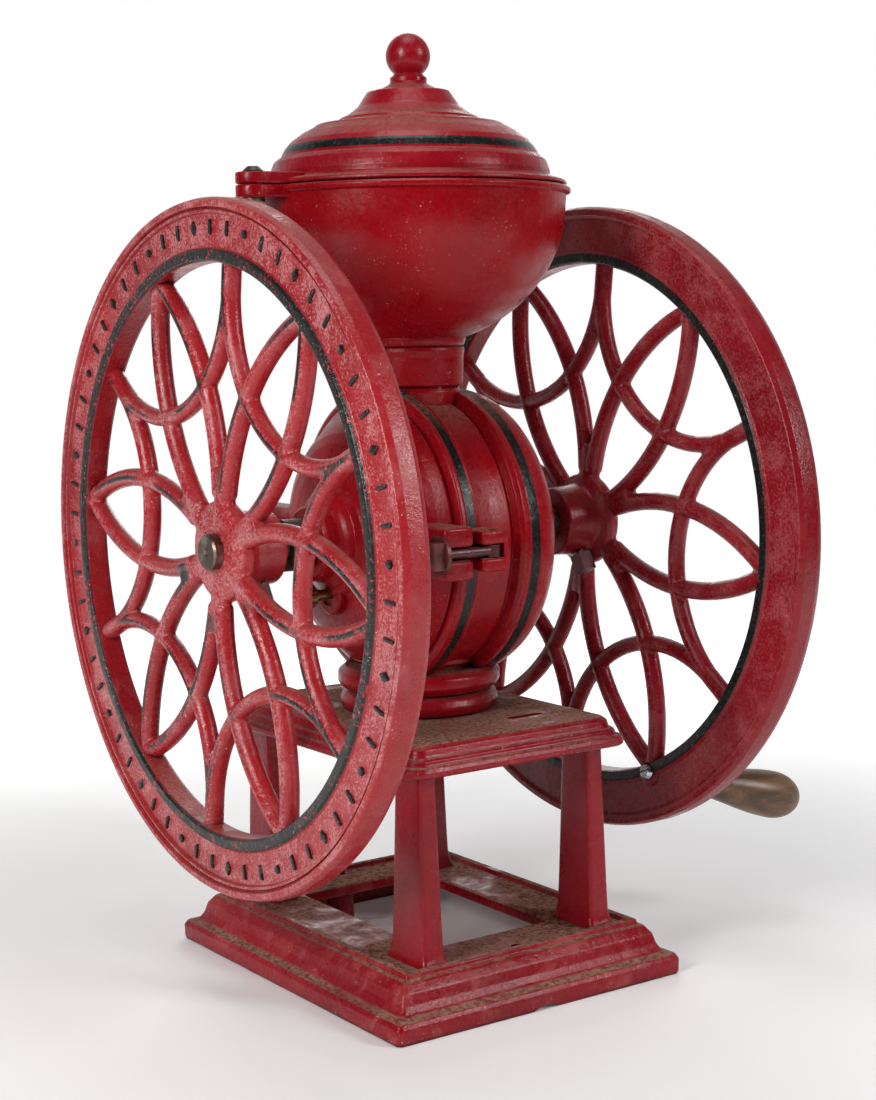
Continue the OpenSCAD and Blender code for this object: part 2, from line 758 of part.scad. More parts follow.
// Plate that slides on the cover's sleeve and holds the stationary burr.
module burr_carrier() {
    color(iron) on_shaft() translate([0, 0, carrier_x - carrier_t]) difference() {
        union() {
            cylinder(r = burr_d / 2 - 2, h = carrier_t);
            translate([0, 0, -5]) cylinder(r = 28, h = 6);
        }
        translate([0, 0, -6]) cylinder(r = sleeve_r + run_gap, h = 20);
        screw_ring() translate([0, 0, -1]) cylinder(r = 2.5, h = 12, $fn = 32);
        guide_places() translate([0, 0, -6]) cylinder(r = 3 + run_gap, h = 20, $fn = 32);
        translate([0, -adjust_drop, -1]) cylinder(r = 2.5 + run_gap, h = 5, $fn = 32);
    }
}

module guide_places() {
    for (side = [-1, 1]) translate([side * 36, 0, 0]) children();
}

// Pins in the cover that keep the burr carrier from turning.
module carrier_guide_pins() {
    color(steel) on_cover() guide_places() translate([0, 0, 2]) cylinder(r = 3, h = 30, $fn = 32);
}

// Thumb screw that turns in the cover; its tip turns in the carrier and moves it.
module adjusting_screw() {
    head_x = -103;
    head_t = 9;
    tip_x = carrier_x - carrier_t;
    color("#b08d3c") translate([0, 0, adjust_z]) along_x() {
        translate([0, 0, head_x]) difference() {
            cylinder(r = 9, h = head_t, $fn = 48);
            for (turn = [0:20:359]) rotate(turn) translate([9.3, 0, -1]) cylinder(r = 0.8, h = 12, $fn = 16);
        }
        translate([0, 0, head_x + head_t - 1]) cylinder(r = 6, h = 4, $fn = 48);
        translate([0, 0, head_x + head_t]) cylinder(r = screw_d / 2, h = tip_x - head_x - head_t - 0.3, $fn = 48);
        translate([0, 0, tip_x - 1]) cylinder(r = 2.5, h = 4, $fn = 32);
    }
}

// ---- Handle ----

module handle_bolt() {
    color("#b9bcbd") handle_place() {
        translate([0, 0, -13.5]) difference() {
            cylinder(r1 = 5, r2 = 6.3, h = 4, $fn = 48);
            translate([-5, -0.7, -1]) cube([10, 1.4, 2.4]);
        }
        translate([0, 0, -12]) cylinder(r = 4.2, h = 26, $fn = 48);
        cylinder(r = 4, h = 112, $fn = 48);
    }
}

module handle_ferrule() {
    color(steel) handle_place() translate([0, 0, 15]) difference() {
        cylinder(r1 = 9.5, r2 = 11, h = 12);
        translate([0, 0, -1]) cylinder(r = 4 + run_gap, h = 20, $fn = 48);
        translate([0, 0, 4]) cylinder(r = 8.5, h = 20, $fn = 48);
    }
}

// Turned grip: a slim neck at the wheel and a full round end.
module wooden_grip() {
    start = 19.3;
    color("#8a6a3e") handle_place() translate([0, 0, start]) difference() {
        rotate_extrude() polygon(concat(
            [[0, 0], [8.4, 0], [8.4, 7.8], [10.5, 8], [10.4, 14]],
            [for (i = [0:10]) [10.5 + (grip_d / 2 - 10.5) * (1 - cos(i * 18)) / 2,
                16 + (grip_l - 42) * i / 10]],
            arc([0, grip_l - 24], grip_d / 2, 0, 0, 1),
            [for (i = [1:8]) [grip_d / 2 * cos(i * 11.25), grip_l - 26 + 26 * sin(i * 11.25)]]));
        translate([0, 0, -1]) cylinder(r = 4 + run_gap, h = 97, $fn = 48);
    }
}

base_frame();
leg_front_left();
leg_front_right();
leg_back_left();
leg_back_right();
leg_tie_bolts();
table_plate();
foot_ring();
foot_bolts();
housing_body();
housing_cover();
clamp_bolts();
clamp_pins();
clamp_washers();
clamp_nuts();
neck_ring();
hopper_bowl();
hopper_screws();
lid();
lid_knob();
lid_pivot_pin();
lid_pivot_washer();
shaft();
left_wheel();
right_wheel();
hub_set_screws();
left_bush();
right_bush();
thrust_collars();
collar_screws();
feed_worm();
burr_runner();
rotating_burr();
runner_screws();
stationary_burr();
burr_carrier();
carrier_screws();
carrier_guide_pins();
adjusting_screw();
handle_bolt();
handle_ferrule();
wooden_grip();
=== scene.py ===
"""Looks of the two-wheeled coffee mill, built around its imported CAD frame.

Shapes are in millimetres, with X along the shaft and Z up. Materials, lights and the camera are in metres.
"""

import math

import bmesh
import bpy
from mathutils import Matrix, Vector


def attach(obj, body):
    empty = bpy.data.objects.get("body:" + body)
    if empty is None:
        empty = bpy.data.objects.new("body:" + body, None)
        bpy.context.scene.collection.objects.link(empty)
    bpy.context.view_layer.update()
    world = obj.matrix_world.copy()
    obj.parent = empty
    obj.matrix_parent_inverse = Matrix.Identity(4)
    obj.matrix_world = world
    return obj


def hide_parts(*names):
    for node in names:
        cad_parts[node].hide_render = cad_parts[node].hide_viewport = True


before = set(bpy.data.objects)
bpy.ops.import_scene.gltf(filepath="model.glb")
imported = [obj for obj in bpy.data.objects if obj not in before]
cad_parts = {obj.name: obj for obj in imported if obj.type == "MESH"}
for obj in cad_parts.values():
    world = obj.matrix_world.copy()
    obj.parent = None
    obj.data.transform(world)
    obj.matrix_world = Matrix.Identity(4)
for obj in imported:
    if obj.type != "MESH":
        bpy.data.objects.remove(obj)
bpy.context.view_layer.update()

MM = 0.001
SHAFT_Z = 329.0
WHEEL_R = 247.5
WHEEL_OUT = 179.5
RIM_W = 22.0
RIM_R = 203.0
PETALS = 6
WHEEL_TURN = math.radians(7)
HANDLE_R = 212.0
HANDLE_TURN = math.radians(67)
FREE_HOLE_TURN = math.radians(240)
GRIP_TILT = math.radians(17)
SEAM_X = -37.0
LUG_Y = 133.0
LUG_GAP = 9.6
ADJUST_DROP = 39.0
THROAT_R = 26.0
CHUTE_R = 36.0
BOWL_R = 115.0
BOWL_DEPTH = 104.5
BOWL_Z = 575.0
NECK_SCREW_R = 32.0
PIVOT_X = -134.0
PIN_HOLE_R = 4.05
BASE_HALF = (128.0, 155.0)
TABLE_HALF = (98.0, 133.0)
TABLE_Z = 175.0
LEG_AT = (75.5, 103.0)
HOLD_DOWN_Y = 120.0
GRIP_START, GRIP_LENGTH, GRIP_R = 19.3, 122, 19.0
FLOOR_M = 1.7
CAMERA_AT = (-0.83476, -1.21757, 0.48682)
GREEN_BLACK = (0.006, 0.009, 0.008, 1)


# ---------------------------------------------------------------- camera, light and floor

def aim_camera():
    """Camera at the mill's left front, a little above the shaft."""
    camera = bpy.data.objects.new("camera", bpy.data.cameras.new("camera"))
    bpy.context.collection.objects.link(camera)
    bpy.context.scene.camera = camera
    yaw, pitch, roll = -0.612, 0.115, -0.016
    forward = Vector((-math.sin(yaw) * math.cos(pitch), math.cos(yaw) * math.cos(pitch),
                      -math.sin(pitch)))
    level = Vector((math.cos(yaw), math.sin(yaw), 0))
    up = level.cross(forward)
    right = math.cos(roll) * level + math.sin(roll) * up
    top = -math.sin(roll) * level + math.cos(roll) * up
    rotation = Matrix((right, top, -forward)).transposed()
    camera.matrix_world = Matrix.Translation(CAMERA_AT) @ rotation.to_4x4()
    camera.data.sensor_width = 36
    camera.data.lens = 64.1
    camera.data.clip_start = 0.05
    camera.data.clip_end = 50


def area_light(name, place, target, size, power, colour=(1, 1, 1)):
    light = bpy.data.objects.new(name, bpy.data.lights.new(name, "AREA"))
    bpy.context.collection.objects.link(light)
    light.data.shape = "RECTANGLE"
    light.data.size, light.data.size_y = size
    light.data.energy = power
    light.data.color = colour
    light.location = place
    light.rotation_euler = (Vector(target) - Vector(place)).to_track_quat("-Z", "Y").to_euler()


def place_lights():
    """Soft boxes either side of the camera, above and behind the mill."""
    middle = (0, 0, 0.35)
    area_light("left_box", (-2.1, -0.7, 1.25), middle, (0.55, 1.1), 40, (1.0, 0.99, 0.97))
    area_light("right_box", (1.2, -1.9, 1.35), middle, (0.45, 1.0), 24, (0.98, 0.99, 1.0))
    area_light("top_box", (-0.1, -0.1, 2.3), middle, (1.0, 1.0), 11)
    area_light("back_box", (1.5, 1.9, 1.3), middle, (1.0, 1.2), 14)


def hang_backdrop():
    """World that is white to the camera, and lights the mill mostly from behind it."""
    world = bpy.data.worlds.new("surround")
    bpy.context.scene.world = world
    world.use_nodes = True
    tree = world.node_tree
    toward = tree.nodes.new("ShaderNodeVectorMath")
    toward.operation = "DOT_PRODUCT"
    toward.inputs[1].default_value = (0.57, 0.81, -0.11)
    way = tree.nodes.new("ShaderNodeTexCoord")
    tree.links.new(way.outputs["Generated"], toward.inputs[0])
    level = tree.nodes.new("ShaderNodeMapRange")
    level.interpolation_type = "SMOOTHSTEP"
    for key, value in {"From Min": 0.1, "From Max": 0.85, "To Min": 0.045, "To Max": 0.75}.items():
        level.inputs[key].default_value = value
    tree.links.new(toward.outputs["Value"], level.inputs["Value"])
    seen = tree.nodes.new("ShaderNodeMix")
    seen.data_type = "FLOAT"
    seen.inputs["B"].default_value = 1.0
    ray = tree.nodes.new("ShaderNodeLightPath")
    tree.links.new(ray.outputs["Is Camera Ray"], seen.inputs["Factor"])
    tree.links.new(level.outputs["Result"], seen.inputs["A"])
    tree.links.new(seen.outputs["Result"], tree.nodes["Background"].inputs["Strength"])
    tree.nodes["Background"].inputs["Color"].default_value = (1, 1, 1, 1)


def lay_floor():
    """Round pale floor, staged so that it isn't part of the mill."""
    mesh = bpy.data.meshes.new("floor")
    rim = [(FLOOR_M * math.cos(math.radians(a)), FLOOR_M * math.sin(math.radians(a)), 0)
           for a in range(0, 360, 3)]
    mesh.from_pydata(rim, [], [list(range(len(rim)))])
    floor = bpy.data.objects.new("floor", mesh)
    bpy.context.collection.objects.link(floor)
    shade = Shade("pale_floor")
    shade.surface(shade.mix(shade.noise(3, 2), (0.90, 0.90, 0.90, 1), (0.93, 0.93, 0.93, 1)), 0.7)
    # Painted light: the floor glows faintly near the mill and more away from it, so that the paper meets the
    # white backdrop.
    flat = shade.add("ShaderNodeVectorMath", {0: shade.place}, 1, operation="LENGTH")
    shade.bsdf.inputs["Emission Color"].default_value = (1, 1, 1, 1)
    shade.tree.links.new(shade.step(flat, 0.35, 1.3, 0.05, 0.75), shade.bsdf.inputs["Emission Strength"])
    mesh.materials.append(shade.material)


# ---------------------------------------------------------------- materials

class Shade:
    """A node material under construction: each call adds a node and gives back its output."""

    def __init__(self, name):
        self.material = bpy.data.materials.new(name)
        self.material.use_nodes = True
        self.tree = self.material.node_tree
        self.bsdf = self.tree.nodes["Principled BSDF"]
        self.coords = self.tree.nodes.new("ShaderNodeTexCoord")
        self.place = self.coords.outputs["Object"]

    def add(self, kind, inputs, out=0, **props):
        node = self.tree.nodes.new(kind)
        for key, value in props.items():
            setattr(node, key, value)
        for key, value in inputs.items():
            if isinstance(value, bpy.types.NodeSocket):
                self.tree.links.new(value, node.inputs[key])
            else:
                node.inputs[key].default_value = value
        return node.outputs[out]

    def math(self, operation, a, b=0.0, clamp=False):
        return self.add("ShaderNodeMath", {0: a, 1: b}, operation=operation, use_clamp=clamp)

    def times(self, a, b, clamp=False):
        return self.math("MULTIPLY", a, b, clamp)

    def plus(self, a, b, clamp=False):
        return self.math("ADD", a, b, clamp)

    def minus(self, a, b):
        return self.math("SUBTRACT", a, b)

    def mix(self, factor, a, b):
        return self.add("ShaderNodeMix", {0: factor, 6: a, 7: b}, 2, data_type="RGBA")

    def noise(self, scale, detail=4, rough=0.55, distortion=0.0, place=None):
        return self.add("ShaderNodeTexNoise", {
            "Vector": place or self.place, "Scale": scale, "Detail": detail,
            "Roughness": rough, "Distortion": distortion})

    def step(self, value, low, high, start=0.0, end=1.0):
        """Smooth step from start to end while value goes from low to high."""
        return self.add("ShaderNodeMapRange", {
            "Value": value, "From Min": low, "From Max": high, "To Min": start, "To Max": end},
            interpolation_type="SMOOTHSTEP")

    def axis(self, index, vector=None):
        return self.add("ShaderNodeSeparateXYZ", {0: vector or self.place}, index)

    def band(self, value, low, high, soft):
        """1 where value lies between low and high."""
        return self.times(self.step(value, low - soft, low + soft),
                          self.step(value, high - soft, high + soft, 1.0, 0.0))

    def shaft_radius(self):
        """Distance from the shaft's axis."""
        height = self.minus(self.axis(2), SHAFT_Z * MM)
        square = self.plus(self.times(height, height), self.times(self.axis(1), self.axis(1)))
        return self.math("SQRT", square)

    def hollow(self, distance, inside=False):
        """How much is closed off within a distance: 1 in corners, or on edges if inside."""
        seen = self.add("ShaderNodeAmbientOcclusion", {"Distance": distance}, 1, samples=6, inside=inside)
        return self.minus(1.0, seen)

    def bump(self, height, strength, distance, normal=None):
        inputs = {"Height": height, "Strength": strength, "Distance": distance}
        if normal is not None:
            inputs["Normal"] = normal
        return self.add("ShaderNodeBump", inputs)

    def surface(self, colour, roughness, normal=None, **fixed):
        for key, value in {"Base Color": colour, "Roughness": roughness, "Normal": normal}.items():
            if isinstance(value, bpy.types.NodeSocket):
                self.tree.links.new(value, self.bsdf.inputs[key])
            elif value is not None:
                self.bsdf.inputs[key].default_value = value
        for key, value in fixed.items():
            self.bsdf.inputs[key.replace("_", " ")].default_value = value
        return self.material


def enamel(name, base=(0.29, 0.0030, 0.011, 1), deep=(0.13, 0.0014, 0.006, 1), pale=(0.40, 0.030, 0.038, 1),
           dust=0.75, cast=0.5, chips=0.3, film=0.12, rub_and_sheen=0.0, gloss=0.30, stripe=None):
    """Glossy dark-red enamel over rough cast iron: dusty on top, painted shade in corners, worn on edges."""
    shade = Shade(name)
    blotch = shade.noise(9, 4, 0.6)
    stain = shade.noise(42, 6, 0.65, 0.4)
    grain = shade.noise(330, 4, 0.6)
    speck = shade.noise(780, 1, 0.4)
    colour = shade.mix(shade.step(blotch, 0.30, 0.60, 0.45, 1.0), deep, base)
    colour = shade.mix(shade.times(shade.step(stain, 0.50, 0.75), film), colour, pale)
    colour = shade.mix(shade.times(shade.step(grain, 0.58, 0.72), 0.3), colour, deep)
    if rub_and_sheen > 0:
        # Outer faces get pale speckles: rubbed paint, and a painted speckled highlight from the lamps.
        out = shade.step(shade.math("ABSOLUTE", shade.axis(0, shade.coords.outputs["Normal"])), 0.62, 0.97)
        speckle = shade.plus(shade.times(shade.noise(560, 3, 0.6), 0.6), shade.times(stain, 0.4))
        rub = shade.times(out, shade.step(speckle, 0.48, 0.58))
        colour = shade.mix(shade.times(rub, rub_and_sheen), colour, (0.60, 0.27, 0.28, 1))
    if stripe is not None:
        # Pieces whose outer faces are rubbed paler have lost more of their stripes.
        wear = shade.plus(shade.times(stain, 0.4), shade.times(grain, 0.6))
        worn = shade.times(stripe(shade), shade.step(wear, 0.34 + 0.11 * rub_and_sheen, 0.40 + 0.11 * rub_and_sheen))
        black = shade.mix(shade.step(grain, 0.58, 0.70), GREEN_BLACK, (0.05, 0.055, 0.05, 1))
        colour = shade.mix(worn, colour, black)
    # Bare and primed metal shows where the enamel is rubbed off the edges.
    edge = shade.times(shade.step(shade.hollow(0.003, True), 0.50, 0.85), shade.step(grain, 0.46, 0.60))
    colour = shade.mix(shade.times(edge, 0.6 * chips), colour, (0.55, 0.26, 0.24, 1))
    fleck = shade.times(shade.step(speck, 0.735, 0.755), shade.step(stain, 0.47, 0.56))
    colour = shade.mix(shade.times(fleck, chips, True), colour, (0.85, 0.70, 0.62, 1))
    # Painted shade darkens the corners towards near black, and brown dust lies on what faces up.
    corner = shade.times(shade.step(shade.hollow(0.012), 0.35, 0.80),
                         shade.step(stain, 0.30, 0.60, 0.5, 1.0))
    colour = shade.mix(shade.times(corner, 0.9), colour, (0.014, 0.006, 0.004, 1))
    facing = shade.step(shade.axis(2, shade.coords.outputs["Normal"]), 0.70, 0.98)
    cover = shade.step(shade.plus(shade.times(blotch, 0.5), shade.times(stain, 0.5)), 0.30, 0.54)
    lying = shade.times(shade.times(facing, cover), dust)
    brown = shade.mix(shade.step(grain, 0.36, 0.60), (0.13, 0.060, 0.040, 1), (0.34, 0.19, 0.14, 1))
    colour = shade.mix(lying, colour, brown)
    dull = shade.plus(shade.times(grain, 0.4), shade.times(stain, 0.6))
    roughness = shade.plus(shade.step(dull, 0.35, 0.70, 0.20, 0.46), shade.times(lying, 0.45), True)
    height = shade.plus(shade.times(grain, 0.7), shade.times(speck, 0.3))
    normal = shade.bump(height, 0.15 + 0.65 * cast, 0.0006)
    normal = shade.bump(stain, 0.50, 0.0016, normal)
    shine = shade.times(shade.minus(1.0, shade.math("MAXIMUM", lying, corner)), gloss)
    shade.tree.links.new(shine, shade.bsdf.inputs["Specular IOR Level"])
    return shade.surface(colour, roughness, normal)


def metal(name, base, dark, rough=(0.28, 0.5), rust=None, metallic=1.0, turned=None):
    """Bare metal with stains, scratches and, if asked, rust or turning marks across one axis."""
    shade = Shade(name)
    stain = shade.noise(60, 6, 0.65)
    grain = shade.noise(520, 4, 0.6)
    colour = shade.mix(shade.step(stain, 0.36, 0.66), dark, base)
    if rust is not None:
        patch = shade.times(shade.step(shade.noise(95, 6, 0.7, 0.5), 0.50, 0.66), 0.75)
        colour = shade.mix(patch, colour, rust)
    # Painted shade: corners and recesses darken towards near black.
    corner = shade.times(shade.step(shade.hollow(0.006), 0.3, 0.8), 0.7)
    colour = shade.mix(corner, colour, (0.015, 0.010, 0.007, 1))
    dull = shade.plus(shade.times(stain, 0.5), shade.times(grain, 0.5))
    roughness = shade.step(dull, 0.35, 0.65, *rough)
    normal = shade.bump(grain, 0.30, 0.0003)
    if turned is not None:
        stretch = [30, 30, 30]
        stretch[turned] = 2600
        marks = shade.add("ShaderNodeMapping", {"Vector": shade.place, "Scale": stretch})
        normal = shade.bump(shade.noise(1, 2, 0.5, place=marks), 0.25, 0.0002, normal)
    return shade.surface(colour, roughness, normal, Metallic=metallic)


def black_iron(name):
    """Dull cast iron with a coarse skin and coffee dust."""
    shade = Shade(name)
    stain = shade.noise(40, 6, 0.65)
    grain = shade.noise(420, 5, 0.65)
    colour = shade.mix(shade.step(stain, 0.36, 0.66), (0.030, 0.028, 0.027, 1), (0.10, 0.092, 0.086, 1))
    colour = shade.mix(shade.times(shade.step(grain, 0.56, 0.70), 0.5), colour, (0.11, 0.06, 0.035, 1))
    normal = shade.bump(shade.plus(shade.times(grain, 0.7), shade.times(stain, 0.3)), 0.6, 0.0006)
    return shade.surface(colour, shade.step(grain, 0.35, 0.65, 0.45, 0.75), normal, Metallic=0.7)


def worn_black():
    """Black paint on raised work, rubbed through to bright metal."""
    shade = Shade("worn_black")
    stain = shade.noise(130, 5, 0.65)
    grain = shade.noise(620, 4, 0.6)
    rub = shade.plus(shade.times(stain, 0.55), shade.times(grain, 0.45))
    colour = shade.mix(shade.step(rub, 0.53, 0.68), (0.006, 0.008, 0.008, 1), (0.30, 0.20, 0.19, 1))
    colour = shade.mix(shade.times(shade.step(grain, 0.60, 0.66), 0.6), colour, (0.25, 0.03, 0.035, 1))
    return shade.surface(colour, shade.step(rub, 0.4, 0.6, 0.28, 0.5), shade.bump(rub, 0.6, 0.0006))


def turned_wood():
    """Old stained grip: grain along the grip, painted shade in the grooves, worn pale on the belly."""
    shade = Shade("turned_wood")
    turn = shade.add("ShaderNodeMapping", {"Vector": shade.place, "Scale": (9, 120, 120)})
    fibre = shade.noise(1, 8, 0.65, 0.3, turn)
    pore = shade.add("ShaderNodeMapping", {"Vector": shade.place, "Scale": (60, 900, 900)})
    pores = shade.noise(1, 3, 0.5, place=pore)
    wear = shade.noise(26, 5, 0.6)
    colour = shade.mix(shade.step(fibre, 0.34, 0.66), (0.065, 0.026, 0.009, 1), (0.20, 0.095, 0.034, 1))
    colour = shade.mix(shade.times(shade.step(wear, 0.50, 0.70), 0.5), colour, (0.25, 0.14, 0.060, 1))
    colour = shade.mix(shade.times(shade.step(pores, 0.60, 0.68), 0.7), colour, (0.030, 0.014, 0.007, 1))
    # Painted shade: grooves and corners darken towards near black.
    corner = shade.times(shade.step(shade.hollow(0.008), 0.3, 0.8), 0.8)
    colour = shade.mix(corner, colour, (0.012, 0.007, 0.004, 1))
    normal = shade.bump(fibre, 0.35, 0.0004, shade.bump(pores, 0.30, 0.0003))
    return shade.surface(colour, shade.step(wear, 0.35, 0.65, 0.34, 0.52), normal,
                         Coat_Weight=0.15, Coat_Roughness=0.3)


# ---------------------------------------------------------------- mesh building

def new_piece(name, verts, faces, material, smooth_angle=38):
    """Mesh object from points in millimetres, in the shared frame."""
    mesh = bpy.data.meshes.new(name)
    mesh.from_pydata([(x * MM, y * MM, z * MM) for x, y, z in verts], [], faces)
    mesh.validate()
    piece = bpy.data.objects.new(name, mesh)
    bpy.context.collection.objects.link(piece)
    finish_mesh(piece, material, smooth_angle)
    return piece


def finish_mesh(piece, material, smooth_angle=38):
    """Merges doubled points, turns faces outwards, keeps edges past the angle sharp and sets the material."""
    bm = bmesh.new()
    bm.from_mesh(piece.data)
    bmesh.ops.remove_doubles(bm, verts=bm.verts, dist=1e-6)
    bmesh.ops.recalc_face_normals(bm, faces=bm.faces)
    bm.to_mesh(piece.data)
    bm.free()
    for face in piece.data.polygons:
        face.use_smooth = True
    piece.data.set_sharp_from_angle(angle=math.radians(smooth_angle))
    piece.data.materials.clear()
    piece.data.materials.append(material)


def rounded(points, closed=False, steps=5):
    """Outline with corners rounded: each point is (a, b) or (a, b, radius)."""
    out = []
    count = len(points)
    for i, p in enumerate(points):
        radius = p[2] if len(p) > 2 else 0
        here = Vector(p[:2])
        if radius <= 0 or (not closed and i in (0, count - 1)):
            out.append(tuple(here))
            continue
        back = Vector(points[i - 1][:2]) - here
        ahead = Vector(points[(i + 1) % count][:2]) - here
        angle = back.angle(ahead)
        reach = min(radius / math.tan(angle / 2), 0.48 * back.length, 0.48 * ahead.length)
        start, end = here + back.normalized() * reach, here + ahead.normalized() * reach
        for k in range(steps + 1):
            t = k / steps
            out.append(tuple((1 - t) ** 2 * start + 2 * t * (1 - t) * here + t * t * end))
    return out


def arc(centre, radius, start, end, steps=10):
    """Points of an arc, angles in degrees."""
    return [(centre[0] + radius * math.cos(math.radians(start + (end - start) * k / steps)),
             centre[1] + radius * math.sin(math.radians(start + (end - start) * k / steps)))
            for k in range(steps + 1)]


def lathe_mesh(outline, segments=40):
    """Points and faces of a closed outline (radius, height) turned round +Z."""
    verts, faces, rings = [], [], []
    for r, h in outline:
        if r < 1e-4:
            rings.append([len(verts)] * segments)
            verts.append((0, 0, h))
            continue
        rings.append(list(range(len(verts), len(verts) + segments)))
        verts += [(r * math.cos(2 * math.pi * k / segments), r * math.sin(2 * math.pi * k / segments), h)
                  for k in range(segments)]
    for low, high in zip(rings, rings[1:] + rings[:1]):
        for k in range(segments):
            n = (k + 1) % segments
            face = [low[k], low[n], high[n], high[k]]
            face = [v for i, v in enumerate(face) if v not in face[:i]]
            if len(face) > 2:
                faces.append(face)
    return verts, faces


def moved(part, matrix):
    verts, faces = part
    return [tuple(matrix @ Vector(v)) for v in verts], faces


def joined(*parts):
    verts, faces = [], []
    for v, f in parts:
        base = len(verts)
        verts += v
        faces += [[i + base for i in face] for face in f]
    return verts, faces


def on_shaft(x=0, way=1, across=1):
    """Matrix that lays +Z along the shaft from x. way and across give the senses over X and Y."""
    return Matrix.Translation((x, 0, SHAFT_Z)) @ Matrix(
        ((0, 0, way, 0), (across, 0, 0, 0), (0, 1, 0, 0), (0, 0, 0, 1)))


def loops_mesh(loops, closed=False, caps=True):
    """Skin over loops of equal length."""
    verts = [tuple(p) for loop in loops for p in loop]
    n = len(loops[0])
    faces = []
    spans = list(range(len(loops) - 1)) + ([len(loops) - 1] if closed else [])
    for i in spans:
        j = (i + 1) % len(loops)
        for k in range(n):
            m = (k + 1) % n
            faces.append([i * n + k, i * n + m, j * n + m, j * n + k])
    if caps and not closed:
        faces.append(list(range(n - 1, -1, -1)))
        faces.append([(len(loops) - 1) * n + k for k in range(n)])
    return verts, faces


def rounded_rectangle(half_x, half_y, z, radius, steps=6, edge_steps=8, centre=(0, 0)):
    """Loop round a rectangle with round corners."""
    loop = []
    radius = max(0.05, min(radius, half_x - 0.1, half_y - 0.1))
    corners = [(1, 1, 0), (-1, 1, 90), (-1, -1, 180), (1, -1, 270)]
    for sx, sy, start in corners:
        cx, cy = sx * (half_x - radius), sy * (half_y - radius)
        for k in range(steps + 1):
            a = math.radians(start + 90 * k / steps)
            loop.append((centre[0] + cx + radius * math.cos(a),
                         centre[1] + cy + radius * math.sin(a), z))
    full = []
    for i, p in enumerate(loop):
        full.append(p)
        q = loop[(i + 1) % len(loop)]
        if (i + 1) % (steps + 1) == 0:
            full += [tuple(Vector(p).lerp(Vector(q), t / edge_steps)) for t in range(1, edge_steps)]
    return full


def boolean(piece, tool, operation):
    """Applies an exact boolean and removes the tool."""
    modifier = piece.modifiers.new("combine", "BOOLEAN")
    modifier.operation = operation
    modifier.object = tool
    modifier.solver = "EXACT"
    apply_modifiers(piece)
    bpy.data.objects.remove(tool)


def turned_tool(piece, outline, material, place=None, operation="DIFFERENCE", segments=40):
    """Cuts an outline turned round +Z out of a piece, or adds it."""
    tool = lathe_mesh(outline, segments)
    if place is not None:
        tool = moved(tool, place)
    boolean(piece, new_piece("tool", *tool, material), operation)


def rod(radius, low, high):
    """Outline of a plain rod or hole."""
    return [(0, low), (radius, low), (radius, high), (0, high)]


def apply_modifiers(piece):
    bpy.context.view_layer.update()
    graph = bpy.context.evaluated_depsgraph_get()
    mesh = bpy.data.meshes.new_from_object(piece.evaluated_get(graph))
    old = piece.data
    piece.modifiers.clear()
    piece.data = mesh
    bpy.data.meshes.remove(old)


def remeshed(piece, voxel, smooth=3):
    """Fuses overlapping solids into one cast skin."""
    modifier = piece.modifiers.new("fuse", "REMESH")
    modifier.mode = "VOXEL"
    modifier.voxel_size = voxel * MM
    if smooth:
        soften = piece.modifiers.new("soften", "SMOOTH")
        soften.factor = 0.6
        soften.iterations = smooth
    apply_modifiers(piece)


def bevelled(node, width=0.6, angle=35):
    """Breaks the sharp edges of a CAD node that is shown as it is."""
    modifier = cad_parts[node].modifiers.new("edges", "BEVEL")
    modifier.width = width * MM
    modifier.segments = 2
    modifier.limit_method = "ANGLE"
    modifier.angle_limit = math.radians(angle)
    modifier.harden_normals = False


def finish_piece(piece, body, node):
    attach(piece, body)
    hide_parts(node)


# ---------------------------------------------------------------- wheels

def wheel_point(radius, angle):
    return Vector((radius * math.cos(angle), radius * math.sin(angle)))


def bar_mesh(path, half_width=7.0, half_depth=7.4, middle=-12.8):
    """Spoke bar along a path in the wheel's plane: a pointed oval that is narrow at its outer crest."""
    def bulge(value):
        return math.copysign(abs(value) ** 1.12, value)

    section = [(bulge(math.cos(a)) * half_width, bulge(math.sin(a)) * half_depth)
               for a in (2 * math.pi * k / 24 for k in range(24))]
    loops = []
    for i, p in enumerate(path):
        tangent = (path[min(i + 1, len(path) - 1)] - path[max(i - 1, 0)]).normalized()
        side = Vector((-tangent.y, tangent.x))
        loops.append([(p.x + side.x * w, p.y + side.y * w, middle + d) for w, d in section])
    return loops_mesh(loops)


def bow_path(a, b, rise, steps=22):
    """Arc from a to b that bulges by rise to the left of the way."""
    chord = b - a
    left = Vector((-chord.y, chord.x)).normalized()
    radius = (chord.length ** 2 / 4 + rise ** 2) / (2 * rise)
    centre = (a + b) / 2 + left * (rise - radius)
    start = math.atan2(a.y - centre.y, a.x - centre.x)
    end = math.atan2(b.y - centre.y, b.x - centre.x)
    turn = (end - start + math.pi) % (2 * math.pi) - math.pi
    angles = [start + turn * k / steps for k in range(steps + 1)]
    return [centre + radius * Vector((math.cos(a), math.sin(a))) for a in angles]


def turned_path(path, angle, flip=False):
    c, s = math.cos(angle), math.sin(angle)
    points = [Vector((p.x, -p.y)) if flip else p for p in path]
    return [Vector((p.x * c - p.y * s, p.x * s + p.y * c)) for p in points]


